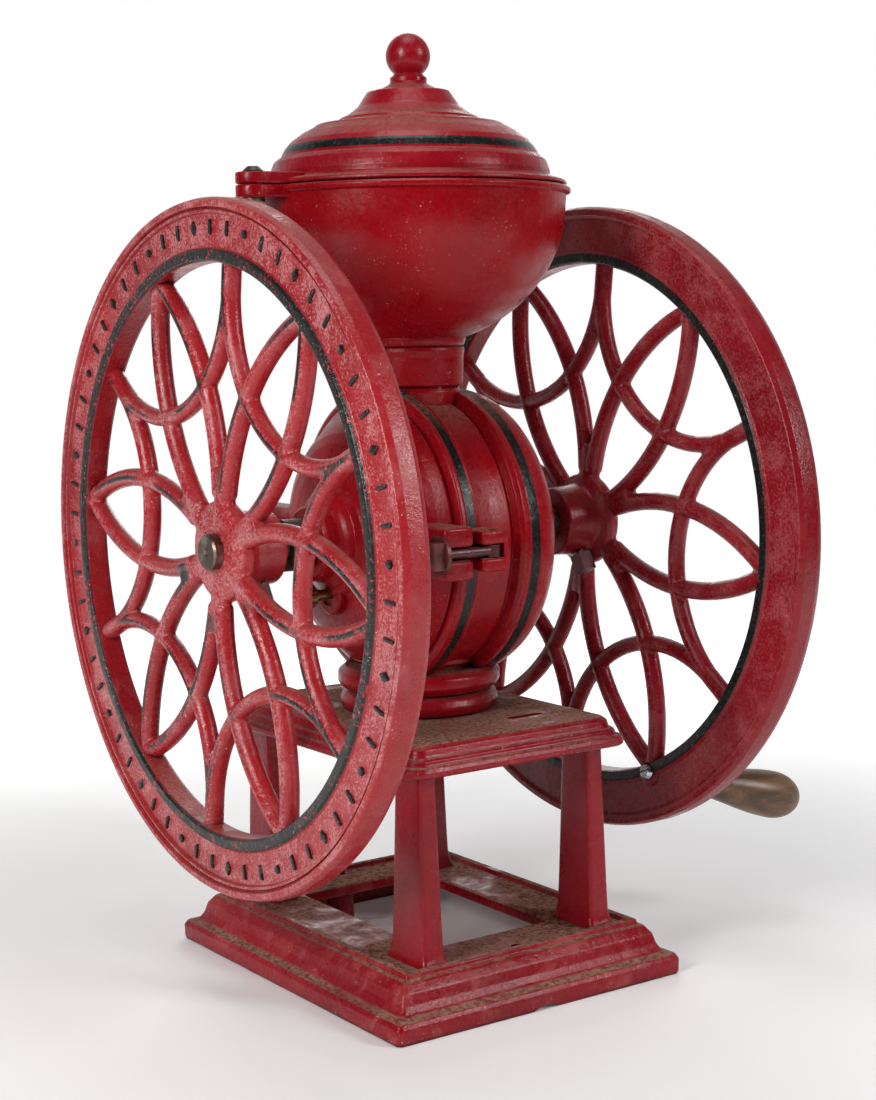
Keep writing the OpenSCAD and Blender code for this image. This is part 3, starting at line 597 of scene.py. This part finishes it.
def spokes_mesh():
    """Interlaced petals, scallops, stems and hub. +Z is the wheel's outward axis, 0 its outer face."""
    parts = []
    step = 2 * math.pi / PETALS
    tip, root = Vector((RIM_R + 3, 1.0)), Vector((37, 16.5))
    petal = bow_path(root, tip, 22)
    scallop_r = 109.0
    centre = scallop_r / math.sin(step / 2)
    scallop = [Vector((centre + scallop_r * math.cos(a), scallop_r * math.sin(a)))
               for a in (math.radians(180 - 61 + 122 * k / 32) for k in range(33))]
    for k in range(PETALS):
        angle = WHEEL_TURN + k * step
        parts.append(bar_mesh(turned_path(petal, angle)))
        parts.append(bar_mesh(turned_path(petal, angle, True)))
        parts.append(bar_mesh(turned_path(scallop, angle), 6.4, 7.2, -12.9))
        stem = [wheel_point(r, angle + step / 2) for r in range(180, 208, 3)]
        parts.append(bar_mesh(stem, 7.2, 7.4, -12.8))
        inner = [wheel_point(r, angle + step / 2) for r in range(16, 62, 4)]
        parts.append(bar_mesh(inner, 10.5, 7.0, -13.2))
    hub = rounded([(0, -6.7), (25, -6.7, 3), (36, -9, 4), (37, -18, 5), (28, -25, 6), (26.5, -51.3, 2.5),
                   (0, -51.3)])
    parts.append(lathe_mesh(hub, 72))
    return joined(*parts)


def rim_mesh():
    """Rim with two beads and a sunk band on its outer face, which is at 0."""
    deep = -RIM_W
    outline = rounded([
        (RIM_R, -3.6, 1.6), (RIM_R + 1.4, -1.0, 1.6), (RIM_R + 8.0, -1.0, 1.6), (RIM_R + 10.6, -4.2, 1.2),
        (WHEEL_R - 11.8, -4.2, 0.8), (WHEEL_R - 10.8, -1.5, 0.6), (WHEEL_R - 8.8, -1.5, 0.6),
        (WHEEL_R - 7.8, -3.4, 0.5), (WHEEL_R - 6.4, 0, 1.4), (WHEEL_R - 1.6, -0.2, 2.4),
        (WHEEL_R, -5.5, 3.0), (WHEEL_R, deep + 4.5, 3.0), (WHEEL_R - 2.2, deep, 2.4),
        (WHEEL_R - 7.0, deep, 1.8),
        (WHEEL_R - 8.6, deep + 2.6, 0.8), (WHEEL_R - 10.6, deep + 2.2, 1.2),
        (RIM_R + 10.6, deep + 3.4, 1.5),
        (RIM_R + 8.0, deep + 1.0, 1.6), (RIM_R + 1.4, deep + 1.0, 1.6), (RIM_R, deep + 3.6, 1.6)],
        closed=True)
    return lathe_mesh(outline, 256)


def ornament_mesh():
    """Raised work round the rim's band: bars, lozenges and beads in turn, with no lettering."""
    band_z, height, radius = -4.2, 2.0, RIM_R + 24

    def stud(outline, angle):
        c, s = math.cos(angle), math.sin(angle)
        loops = []
        for grow, z in ((1.0, band_z - 0.8), (1.0, band_z + height * 0.55),
                        (0.88, band_z + height * 0.9), (0.7, band_z + height)):
            loops.append([((radius + x * grow) * c - y * grow * s,
                           (radius + x * grow) * s + y * grow * c, z) for x, y in outline])
        return loops_mesh(loops)

    lozenge = rounded([(-5.6, 0, 0.8), (0, -3.4, 0.8), (5.6, 0, 0.8),
                       (0, 3.4, 0.8)], closed=True, steps=3)
    bar = rounded([(-5.4, -1.3, 1.2), (5.4, -1.3, 1.2), (5.4, 1.3, 1.2), (-5.4, 1.3, 1.2)],
                  closed=True, steps=4)
    bead = [(3.0 * math.cos(math.radians(a)), 3.0 * math.sin(math.radians(a))) for a in range(0, 360, 24)]
    order = [bar, bar, lozenge, bar, bar, bead]
    studs = 60
    return joined(*[stud(order[k % len(order)], 2 * math.pi * (k + 0.5) / studs) for k in range(studs)])


def handle_frame(side, extra_turn=0.0):
    """Matrix whose +Z runs out of a wheel's handle hole, from the rim's middle."""
    radial = math.atan2(-math.sin(HANDLE_TURN), -math.cos(HANDLE_TURN)) - extra_turn
    spin = Matrix.Rotation(radial, 4, "X")
    seat = Matrix.Translation((WHEEL_OUT - RIM_W / 2, HANDLE_R, 0))
    lean = Matrix.Rotation(GRIP_TILT, 4, "Z") @ Matrix.Rotation(math.pi / 2, 4, "Y")
    mirror = Matrix.Scale(-1, 4, (1, 0, 0)) if side < 0 else Matrix.Identity(4)
    return Matrix.Translation((0, 0, SHAFT_Z)) @ mirror @ spin @ seat @ lean


def build_wheels(mats):
    for side, name, slot, turn in ((-1, "left", "red_enamel", FREE_HOLE_TURN),
                                   (1, "right", "red_enamel_shade", 0.0)):
        skin = mats[f"wheel_{name}"]
        place = on_shaft(side * WHEEL_OUT, side)
        spokes = new_piece(f"{name}_wheel_spokes", *moved(spokes_mesh(), place), skin)
        remeshed(spokes, 1.25, 2)
        finish_mesh(spokes, skin, 60)
        rim = new_piece(f"{name}_wheel_rim", *moved(rim_mesh(), place), skin)
        work = new_piece(f"{name}_wheel_ornament", *moved(ornament_mesh(), place), mats["worn_black"])
        seat = handle_frame(side, turn)
        boss = rounded([(0, -8.5), (10.5, -8.5, 2.5), (12, 0, 3), (10.5, 8.5, 2.5), (0, 8.5)])
        turned_tool(rim, boss, skin, seat, "UNION")
        hole = [(0, -30), (7, -30), (7, -9.5), (4.3, -9.5), (4.3, 30), (0, 30)]
        for piece in (rim, spokes):
            turned_tool(piece, hole, skin, seat)
        finish_mesh(rim, skin, 38)
        finish_mesh(spokes, skin, 60)
        for piece in (spokes, rim, work):
            finish_piece(piece, "shaft", f"{name}_wheel")


# ---------------------------------------------------------------- housing

def body_outline():
    """Outline of the housing's right part: radius, place along the shaft."""
    x = SEAM_X
    outer = rounded([
        (100, x + 0.3, 0), (107.5, x + 0.3, 1.5), (110.8, x + 1.5, 1.8), (110.8, x + 5.0, 1.8),
        (109.6, x + 6.6, 0.6), (109.6, x + 14.0, 0.6), (110.8, x + 15.0, 1.0), (110.4, x + 16.5, 1.2),
        (104.2, x + 18.0, 2.5),
        (103.5, -4, 20), (103.6, 11.5, 3), (101.6, 14.0, 1.0), (108.6, 16.2, 1.4), (111.2, 19.0, 2.5),
        (110.6, 23.6, 1.5), (109.4, 25.0, 0.8), (109.6, 34.5, 2)])
    outer += arc((84, 35), 25, 6, 78, 12)
    outer += rounded([(76, 61, 3), (40, 63, 5), (32, 66, 5), (28.5, 74, 5), (27.5, 96.5, 1.0),
                      (25.5, 99, 1.2), (13.2, 99)])
    inner = [(13.2, 50), (18, 50), (18, 46), (34, 46), (34, -14), (96.5, -14), (96.5, x + 0.3)]
    return outer + inner


def cover_outline():
    """Outline of the cover: radius, distance from the seam towards the nose."""
    outer = rounded([
        (100, 0), (102.6, 0, 0.8), (103, 2.2, 1.4), (100.2, 5, 3), (96.5, 8.6, 4), (92.5, 13.2, 5),
        (88.6, 18.6, 6), (84, 24, 6), (79, 28.6, 6), (71.5, 32.2, 7), (60, 34.4, 6), (45, 36.0, 2),
        (42.0, 38.0, 2.0), (39.0, 42.8, 2.5), (34, 45.0, 2.5), (31.5, 47.3, 2), (29.5, 50.3, 3),
        (28.0, 58, 2.5), (25.5, 61, 1.5), (17, 61)])
    inner = [(17, 29), (20, 29), (34, 29), (60, 25), (73, 21), (85, 15), (91, 8), (96.5, 1), (96.5, 0)]
    return outer + inner


def mirrored(loops, low, high):
    """The loops below, followed by the same loops turned over half way between two heights."""
    return loops + [[(x, y, low + high - z) for x, y, z in loop] for loop in reversed(loops)]


def box_piece(name, low, high, radius, material):
    """Block with every corner rounded, between two corners."""
    half = [(b - a) / 2 for a, b in zip(low, high)]
    mid = [(b + a) / 2 for a, b in zip(low, high)]
    radius = min(radius, *[h * 0.9 for h in half])
    loops = []
    for k in range(5):
        a = math.radians(90 * k / 4)
        inset = radius * (1 - math.sin(a))
        z = mid[2] - half[2] + radius * (1 - math.cos(a))
        loops.append(rounded_rectangle(half[0] - inset, half[1] - inset, z, radius, 3, 2, mid[:2]))
    return new_piece(name, *loops_mesh(mirrored(loops, low[2], high[2])), material)


def add_lugs(piece, x_range, height, side, root, material):
    """Upper and lower clamp lugs on one side, rooted in the round wall."""
    for sign in (1, -1):
        low, high = sorted((SHAFT_Z + sign * LUG_GAP / 2, SHAFT_Z + sign * height / 2))
        y0, y1 = sorted((side * LUG_Y, side * root))
        lug = box_piece("lug", (x_range[0], y0, low), (x_range[1], y1, high), 2.2, material)
        boolean(piece, lug, "UNION")


def build_housing(mats):
    skin = mats["housing"]
    body = new_piece("housing_body_shell", *moved(lathe_mesh(body_outline(), 200), on_shaft()), skin)
    collar = rounded([
        (CHUTE_R, 213.2), (53, 213.2, 1.5), (58, 214.2, 2.5), (62, 219, 4.5), (61.5, 226.5, 4.0),
        (56, 230.6, 2.5), (49, 231.4, 1.0), (46.5, 232.0, 0.6), (46.5, 234.6, 0.6), (50.5, 235.2, 1.2),
        (51.0, 240, 2), (51.5, 262), (CHUTE_R, 262)])
    turned_tool(body, collar, skin, operation="UNION", segments=128)
    inlet = rounded([(THROAT_R, 439.8), (33.8, 439.8, 1.2), (35.5, 437, 2.5), (33.5, 424), (33.0, 405),
                     (THROAT_R, 405)])
    turned_tool(body, inlet, skin, operation="UNION", segments=96)
    for side in (-1, 1):
        add_lugs(body, (-35, -13), 29, side, 98, skin)
        y0, y1 = sorted((side * 132.5, side * 98))
        stop = box_piece("stop", (-16.2, y0, SHAFT_Z - 8), (-13, y1, SHAFT_Z + 8), 1.0, skin)
        boolean(body, stop, "UNION")
    turned_tool(body, rod(CHUTE_R, 200, 246), skin, segments=96)
    turned_tool(body, [(0, 330), (22, 330), (THROAT_R, 445), (0, 445)], skin, segments=96)
    finish_mesh(body, skin, 40)
    finish_piece(body, "frame", "housing_body")

    on_cover = on_shaft(SEAM_X, -1, -1)
    cover = new_piece("housing_cover_shell", *moved(lathe_mesh(cover_outline(), 200), on_cover), skin)
    boss = rounded([(0, 12), (15.5, 12), (15.5, 41.5, 2.0), (14.0, 43, 1.0), (8.5, 43, 0.8),
                    (7.5, 41.5, 0.6),
                    (0, 41.5)])
    at_screw = on_cover @ Matrix.Translation((0, -ADJUST_DROP, 0))
    turned_tool(cover, boss, skin, at_screw, "UNION", 64)
    turned_tool(cover, rod(PIN_HOLE_R, 5, 60), skin, at_screw)
    for side in (-1, 1):
        add_lugs(cover, (-67, -43), 37, side, 72, skin)
    finish_mesh(cover, skin, 40)
    finish_piece(cover, "frame", "housing_cover")

    ring = rounded([(CHUTE_R, 197.2), (56.5, 197.2, 0.8), (58.8, 199, 2.0), (60.4, 204.5, 5),
                    (58.5, 209.5, 4),
                    (55, 212.4, 1.5), (52, 212.9), (CHUTE_R, 212.9)])
    foot = new_piece("foot_ring_cast", *lathe_mesh(ring, 144), mats["enamel"])
    finish_piece(foot, "frame", "foot_ring")


# ---------------------------------------------------------------- hopper and lid

def build_hopper(mats):
    skin = mats["bowl"]
    wall = 5.8
    angles = [math.radians(-0.5 - 69.5 * k / 30) for k in range(31)]
    outer, inner = ([((BOWL_R - inset) * math.cos(a), BOWL_Z + (BOWL_DEPTH - inset) * math.sin(a))
                     for a in angles] for inset in (0, wall))
    bowl = rounded([(109.4, 586), (117.2, 586, 0.8), (119, 584.2, 1.4), (118.6, 581.4, 1.2),
                    (115.6, 580, 1.2)])
    bowl += outer[1:]
    bowl += rounded([(39.4, 475.4), (38.9, 473.0, 0.8), (38.0, 471.2, 0.8), (36.8, 470.3, 0.5),
                     (THROAT_R, 470.3)])
    bowl += [(THROAT_R, 477.8)] + list(reversed(inner))
    shell = new_piece("hopper_bowl_cast", *lathe_mesh(bowl, 200), skin)
    boolean(shell, tab_piece(577.0, 585.9, skin), "UNION")
    neck = rounded([(THROAT_R, 440.3), (34.4, 440.3, 0.8), (37.0, 442.0, 1.0), (37.6, 462, 4),
                    (38.4, 467.0, 1.0), (38.2, 469.2, 0.8), (37.0, 469.8, 0.5), (THROAT_R, 469.8)])
    pipe = new_piece("neck_ring_cast", *lathe_mesh(neck, 144), skin)
    hole = [(0, 435), (2.55, 435), (2.55, 473.5), (4.8, 473.5), (4.8, 490), (0, 490)]
    for turn in (30, 150, 270):
        at_screw = Matrix.Rotation(math.radians(turn), 4, "Z") @ Matrix.Translation((NECK_SCREW_R, 0, 0))
        for piece in (shell, pipe):
            turned_tool(piece, hole, skin, at_screw, segments=32)
    finish_mesh(shell, skin, 40)
    finish_mesh(pipe, skin, 40)
    finish_piece(shell, "frame", "hopper_bowl")
    finish_piece(pipe, "frame", "neck_ring")

    lid = rounded([
        (101.5, 586.6), (114.5, 586.6, 0.8), (116, 588, 1.2), (115.6, 590, 1.4), (112, 591.4, 1.5),
        (106, 592.2, 2.0), (103.6, 594.2, 1.2), (103.8, 597.5, 1.6), (102.6, 601.5, 2.4),
        (101.0, 605.6, 2.2), (98, 608.2, 1.5),
        (95.6, 609.4, 0.9), (94.9, 611.2, 0.8), (92.6, 615.4, 6), (88.0, 620.8, 10), (79.5, 626.8, 10),
        (71.2, 631.2, 1.8), (69.2, 632.8, 1.2), (66, 633.4, 1.5), (55.0, 635.0, 2.5), (52.8, 636.0, 0.5),
        (51.6, 637.6, 1.0), (45.5, 640.4, 8), (38, 646.2, 9), (33.5, 653.0, 5), (31.2, 656.6, 1.2),
        (28.8, 657.6, 1.2), (22.6, 658.0, 1.4), (19.0, 660.2, 3), (14.8, 662.4, 1.0), (13.6, 664.4, 1.2),
        (13.7, 667.2, 1.2), (11.8, 668.8, 0.8), (0, 669)])
    lid += rounded([(0, 652), (24, 651, 3), (30, 645, 6), (44, 634.5, 8), (66, 628, 6), (76, 622, 8),
                    (86, 613, 8), (92, 605, 4), (97, 594, 3)])
    dome = new_piece("lid_dome", *lathe_mesh(lid, 200), mats["lid"])
    boolean(dome, tab_piece(586.6, 594.8, mats["lid"]), "UNION")
    finish_mesh(dome, mats["lid"], 40)
    finish_piece(dome, "lid", "lid")

    knob = rounded([(0, 668.4), (11.6, 668.4, 0.4), (11.2, 669.4, 0.5), (10.6, 670.2, 0.5)])
    ball_r, ball_z = 16.5, 683
    knob += [(ball_r * math.sin(math.radians(a)), ball_z - ball_r * math.cos(math.radians(a)))
             for a in range(41, 180, 5)]
    knob += [(0, ball_z + ball_r)]
    ball = new_piece("lid_knob_ball", *lathe_mesh(knob, 72), mats["lid"])
    finish_piece(ball, "lid", "lid_knob")


def tab_piece(low, high, material):
    """Pivot tab that reaches from a flange to the lid's pin."""
    outline = arc((PIVOT_X, 0), 12.6, 90, 270, 16)
    outline += [(-118, -14), (-106, -20), (-104, -20), (-104, 20), (-106, 20), (-118, 14)]
    edge = 1.4
    centre = Vector((-120, 0))
    loops = []
    for k in range(4):
        a = math.radians(90 * k / 3)
        inset = edge * (1 - math.sin(a))
        loop = []
        for x, y in outline:
            point = Vector((x, y))
            point += (centre - point).normalized() * inset
            loop.append((point.x, point.y, low + edge * (1 - math.cos(a))))
        loops.append(loop)
    tab = new_piece("tab", *loops_mesh(mirrored(loops, low, high)), material)
    turned_tool(tab, rod(PIN_HOLE_R, low - 5, high + 5), material, Matrix.Translation((PIVOT_X, 0, 0)))
    return tab


# ---------------------------------------------------------------- base, legs and table

def build_base(skin):
    border = rounded([
        (8, 0), (1.2, 0, 1.2), (0.2, 2.5, 1.2), (0, 11.5, 3.5), (2.0, 15.2, 2.2), (5.6, 15.8, 2.5),
        (9.2, 17.2, 5),
        (12.4, 22.6, 7), (14.6, 30.2, 6), (19.5, 36.6, 5), (22.6, 37.4, 1.2), (23.4, 40.4, 1.0),
        (24.6, 41, 1.0),
        (29.0, 40.8, 1.2), (31.0, 38.0, 1.5)])
    half_x, half_y = BASE_HALF
    loops = [rounded_rectangle(half_x - d, half_y - d, z, max(1.2, 4.5 - 0.1 * d)) for d, z in border]
    # Down the open middle and back out under the hollow top: half sizes, height, corner radius.
    inside = [(64, 92, 37.6, 2), (60, 89.5, 38.2, 2), (56, 87.5, 38.0, 2), (54.4, 86.4, 37.2, 2),
              (54, 86, 35.5, 2), (54, 86, 31.0, 2), (55, 87, 30.0, 2), (99, 126, 30, 3),
              (106, 133, 23, 3),
              (116, 143, 10, 3)]
    loops += [rounded_rectangle(*row) for row in inside]
    base = new_piece("base_casting", *loops_mesh(loops, closed=True), skin)
    for side in (-1, 1):
        at_hole = Matrix.Translation((0, side * HOLD_DOWN_Y, 0))
        turned_tool(base, rod(11, 0, 34), skin, at_hole, "UNION")
        turned_tool(base, rod(4.5, -3, 60), skin, at_hole)
        at_scoop = Matrix.Translation((0, side * half_y, -13.5)) @ Matrix.Rotation(math.pi / 2, 4, "X")
        turned_tool(base, rod(17.5, -14, 14), skin, at_scoop, segments=64)
    finish_mesh(base, skin, 40)
    finish_piece(base, "frame", "base_frame")


def build_table(skin):
    edge = rounded([
        (30, 12.2), (14, 12.2, 2), (8, 3, 2), (7.4, 0.2, 1.0), (1.6, 0.2, 1.2), (0.1, 1.6, 1.0),
        (0, 4.6, 2.0),
        (1.6, 7.8, 1.8), (4.2, 8.3, 1.0), (4.8, 9.6, 0.8), (5.0, 11.4, 1.6), (6.6, 13.0, 1.4),
        (8.2, 13.4, 0.8),
        (8.8, 15.2, 0.8), (9.6, 18.6, 2.2), (12.6, 21.2, 2.2), (16.5, 21.9, 2), (30, 22)])
    loops = [rounded_rectangle(TABLE_HALF[0] - d, TABLE_HALF[1] - d, TABLE_Z + z, max(3.0, 13 - 0.35 * d))
             for d, z in edge]
    plate = new_piece("table_casting", *loops_mesh(loops), skin)
    turned_tool(plate, rod(CHUTE_R, 170, 210), skin, segments=96)
    for side in (-1, 1):
        low = rounded_rectangle(16, 3.6, 193.5, 3.5, 5, 2, (37, side * 84))
        slot = loops_mesh([low, [(x, y, 205) for x, y, _ in low]])
        boolean(plate, new_piece("slot", *slot, skin), "DIFFERENCE")
    finish_mesh(plate, skin, 40)
    finish_piece(plate, "frame", "table_plate")


def build_legs(skin):
    """Four tapered legs between the base and the table."""
    # Half sizes and height, from the flared foot up.
    stations = [(11.5, 24, 38.2), (11.4, 23.8, 39.4), (10.4, 22.2, 42.5), (9.6, 21.0, 46.5),
                (9.2, 20.3, 52),
                (8.9, 19.6, 65), (8.5, 18.6, 90), (8.1, 17.4, 120), (7.7, 16.2, 150), (7.5, 15.5, 173),
                (7.5, 15.5, 186)]
    for y_side, row in ((-1, "front"), (1, "back")):
        for x_side, column in ((-1, "left"), (1, "right")):
            centre = (x_side * LEG_AT[0], y_side * LEG_AT[1])
            loops = [rounded_rectangle(hx, hy, z, 3.2, 5, 4, centre) for hx, hy, z in stations]
            leg = new_piece(f"leg_{row}_{column}_cast", *loops_mesh(loops), skin)
            finish_piece(leg, "frame", f"leg_{row}_{column}")


# ---------------------------------------------------------------- handle and small parts

def build_handle(mats):
    waist = 10.3
    outline = [(8.2, 0), (8.4, 8)]
    outline += rounded([(10.4, 8.2, 0.8), (10.9, 10.5, 1.2), (waist, 13, 1.0)])[1:]
    for k in range(1, 25):
        t = k / 24
        swell = (GRIP_R - waist) * (1 - math.cos(math.pi * t)) / 2
        outline.append((waist + swell, 13 + (GRIP_LENGTH - 39) * t))
    outline += [(GRIP_R * math.cos(math.radians(a)), GRIP_LENGTH - 26 + 26 * math.sin(math.radians(a)))
                for a in range(6, 90, 6)]
    outline += [(0, GRIP_LENGTH)]
    bore = [(0, 96), (PIN_HOLE_R, 96), (PIN_HOLE_R, 0)]
    place = handle_frame(1) @ Matrix.Translation((0, 0, GRIP_START))
    grip = new_piece("grip_turned", *moved(lathe_mesh(bore + outline, 96), place), mats["wood"])
    finish_piece(grip, "grip", "wooden_grip")


def dress_cad_nodes(mats):
    looks = {
        "steel": ["leg_tie_bolts", "foot_bolts", "hopper_screws", "lid_pivot_pin", "lid_pivot_washer",
                  "collar_screws", "runner_screws", "carrier_screws", "carrier_guide_pins",
                  "handle_ferrule"],
        "painted": ["clamp_bolts", "clamp_pins", "clamp_washers", "clamp_nuts", "hub_set_screws"],
        "shaft": ["shaft"],
        "iron": ["feed_worm", "burr_runner", "rotating_burr", "stationary_burr", "burr_carrier"],
        "collar": ["thrust_collars"],
        "bronze": ["left_bush", "right_bush"],
        "brass": ["adjusting_screw"],
        "zinc": ["handle_bolt"],
    }
    for look, nodes in looks.items():
        for node in nodes:
            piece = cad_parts[node]
            piece.data.materials.clear()
            piece.data.materials.append(mats[look])
    for node in ("clamp_washers", "clamp_nuts", "hub_set_screws", "thrust_collars", "adjusting_screw",
                 "handle_bolt"):
        bevelled(node)


# ---------------------------------------------------------------- everything together

def drum_stripes(shade):
    x = shade.axis(0)
    outside = shade.times(shade.band(shade.shaft_radius(), 0.1080, 0.1120, 0.0004),
                          shade.step(shade.axis(2), 0.2330, 0.2340))
    first = shade.band(x, -0.0302, -0.0232, 0.0003)
    second = shade.band(x, 0.0262, 0.0338, 0.0004)
    return shade.times(shade.plus(first, second, True), outside)


def lid_stripe(shade):
    return shade.band(shade.axis(2), 0.6112, 0.6172, 0.0004)


def wheel_stripes(shade):
    """Black on the raised inner ring of both faces, and in patches on the spokes' outer crests."""
    out = shade.math("ABSOLUTE", shade.axis(0))
    radius = shade.shaft_radius()
    ring = shade.times(shade.band(radius, 0.2030, 0.2125, 0.0004), shade.step(out, 0.1755, 0.1770))
    inner_face = shade.times(shade.band(radius, 0.2030, 0.2115, 0.0004), shade.step(out, 0.1605, 0.1590))
    ridge = shade.step(shade.math("ABSOLUTE", shade.axis(0, shade.coords.outputs["Normal"])), 0.90, 0.97)
    crest = shade.times(shade.times(ridge, shade.step(out, 0.1700, 0.1712)),
                        shade.band(radius, 0.045, 0.2035, 0.004))
    patchy = shade.times(crest, shade.step(shade.noise(16, 2, 0.5), 0.42, 0.56))
    return shade.plus(shade.plus(ring, inner_face), patchy, True)


def main():
    aim_camera()
    place_lights()
    hang_backdrop()
    lay_floor()
    bpy.context.scene.view_settings.view_transform = "Standard"
    mats = {
        "enamel": enamel("red_enamel", dust=0.6),
        "bowl": enamel("red_enamel_bowl", (0.29, 0.0015, 0.006, 1), (0.14, 0.0008, 0.003, 1),
                       dust=0.5, cast=0.15, chips=0.6, film=0.05, gloss=0.24),
        "lid": enamel("red_enamel_lid", dust=0.55, cast=0.15, chips=0.35, film=0.14, stripe=lid_stripe),
        "housing": enamel("red_enamel_housing", (0.30, 0.002, 0.007, 1), (0.15, 0.001, 0.004, 1),
                          dust=0.6, cast=0.2, film=0.06, gloss=0.26, stripe=drum_stripes),
        "base": enamel("red_enamel_base", pale=(0.48, 0.10, 0.09, 1),
                       dust=1.0, cast=0.45, chips=0.8, film=0.6),
        "table": enamel("red_enamel_table", pale=(0.44, 0.08, 0.07, 1),
                        dust=1.0, cast=0.4, chips=0.8, film=0.4),
        # Painted light and shade: the left wheel's enamel is a lit copy, brighter and with more pale speckled
        # highlight; the right wheel's is a darker, shaded copy.
        "wheel_left": enamel("red_enamel_left_wheel_lit", (0.36, 0.014, 0.020, 1), (0.21, 0.004, 0.008, 1),
                             (0.52, 0.14, 0.15, 1), dust=0.35, cast=1.0, chips=0.8, film=0.35, rub_and_sheen=0.55,
                             gloss=0.45, stripe=wheel_stripes),
        "wheel_right": enamel("red_enamel_right_wheel_shaded", (0.24, 0.006, 0.012, 1), (0.11, 0.002, 0.005, 1),
                              (0.34, 0.05, 0.06, 1), dust=0.35, cast=0.7, chips=0.3, film=0.3, rub_and_sheen=0.15,
                              stripe=wheel_stripes),
        "worn_black": worn_black(),
        "steel": metal("brown_steel", (0.26, 0.21, 0.17, 1), (0.09, 0.065, 0.05, 1), (0.35, 0.6),
                       (0.12, 0.055, 0.025, 1)),
        "painted": metal("painted_steel", (0.16, 0.030, 0.030, 1), (0.06, 0.014, 0.014, 1), (0.28, 0.5),
                         (0.05, 0.022, 0.014, 1), metallic=0.25),
        "shaft": metal("shaft_steel", (0.36, 0.31, 0.27, 1), (0.14, 0.10, 0.08, 1), (0.32, 0.55),
                       (0.16, 0.08, 0.05, 1), turned=0),
        "collar": metal("collar_steel", (0.14, 0.11, 0.10, 1), (0.05, 0.035, 0.03, 1), (0.4, 0.65)),
        "iron": black_iron("black_iron"),
        "bronze": metal("bronze", (0.55, 0.36, 0.16, 1), (0.20, 0.12, 0.05, 1), (0.3, 0.5)),
        "brass": metal("old_brass", (0.34, 0.27, 0.11, 1), (0.09, 0.08, 0.035, 1),
        (0.25, 0.45), turned=0),
        "zinc": metal("bright_zinc", (0.75, 0.76, 0.77, 1), (0.42, 0.43, 0.44, 1), (0.18, 0.35)),
        "wood": turned_wood(),
    }
    build_wheels(mats)
    build_housing(mats)
    build_hopper(mats)
    build_base(mats["base"])
    build_table(mats["table"])
    build_legs(mats["enamel"])
    build_handle(mats)
    dress_cad_nodes(mats)


main()
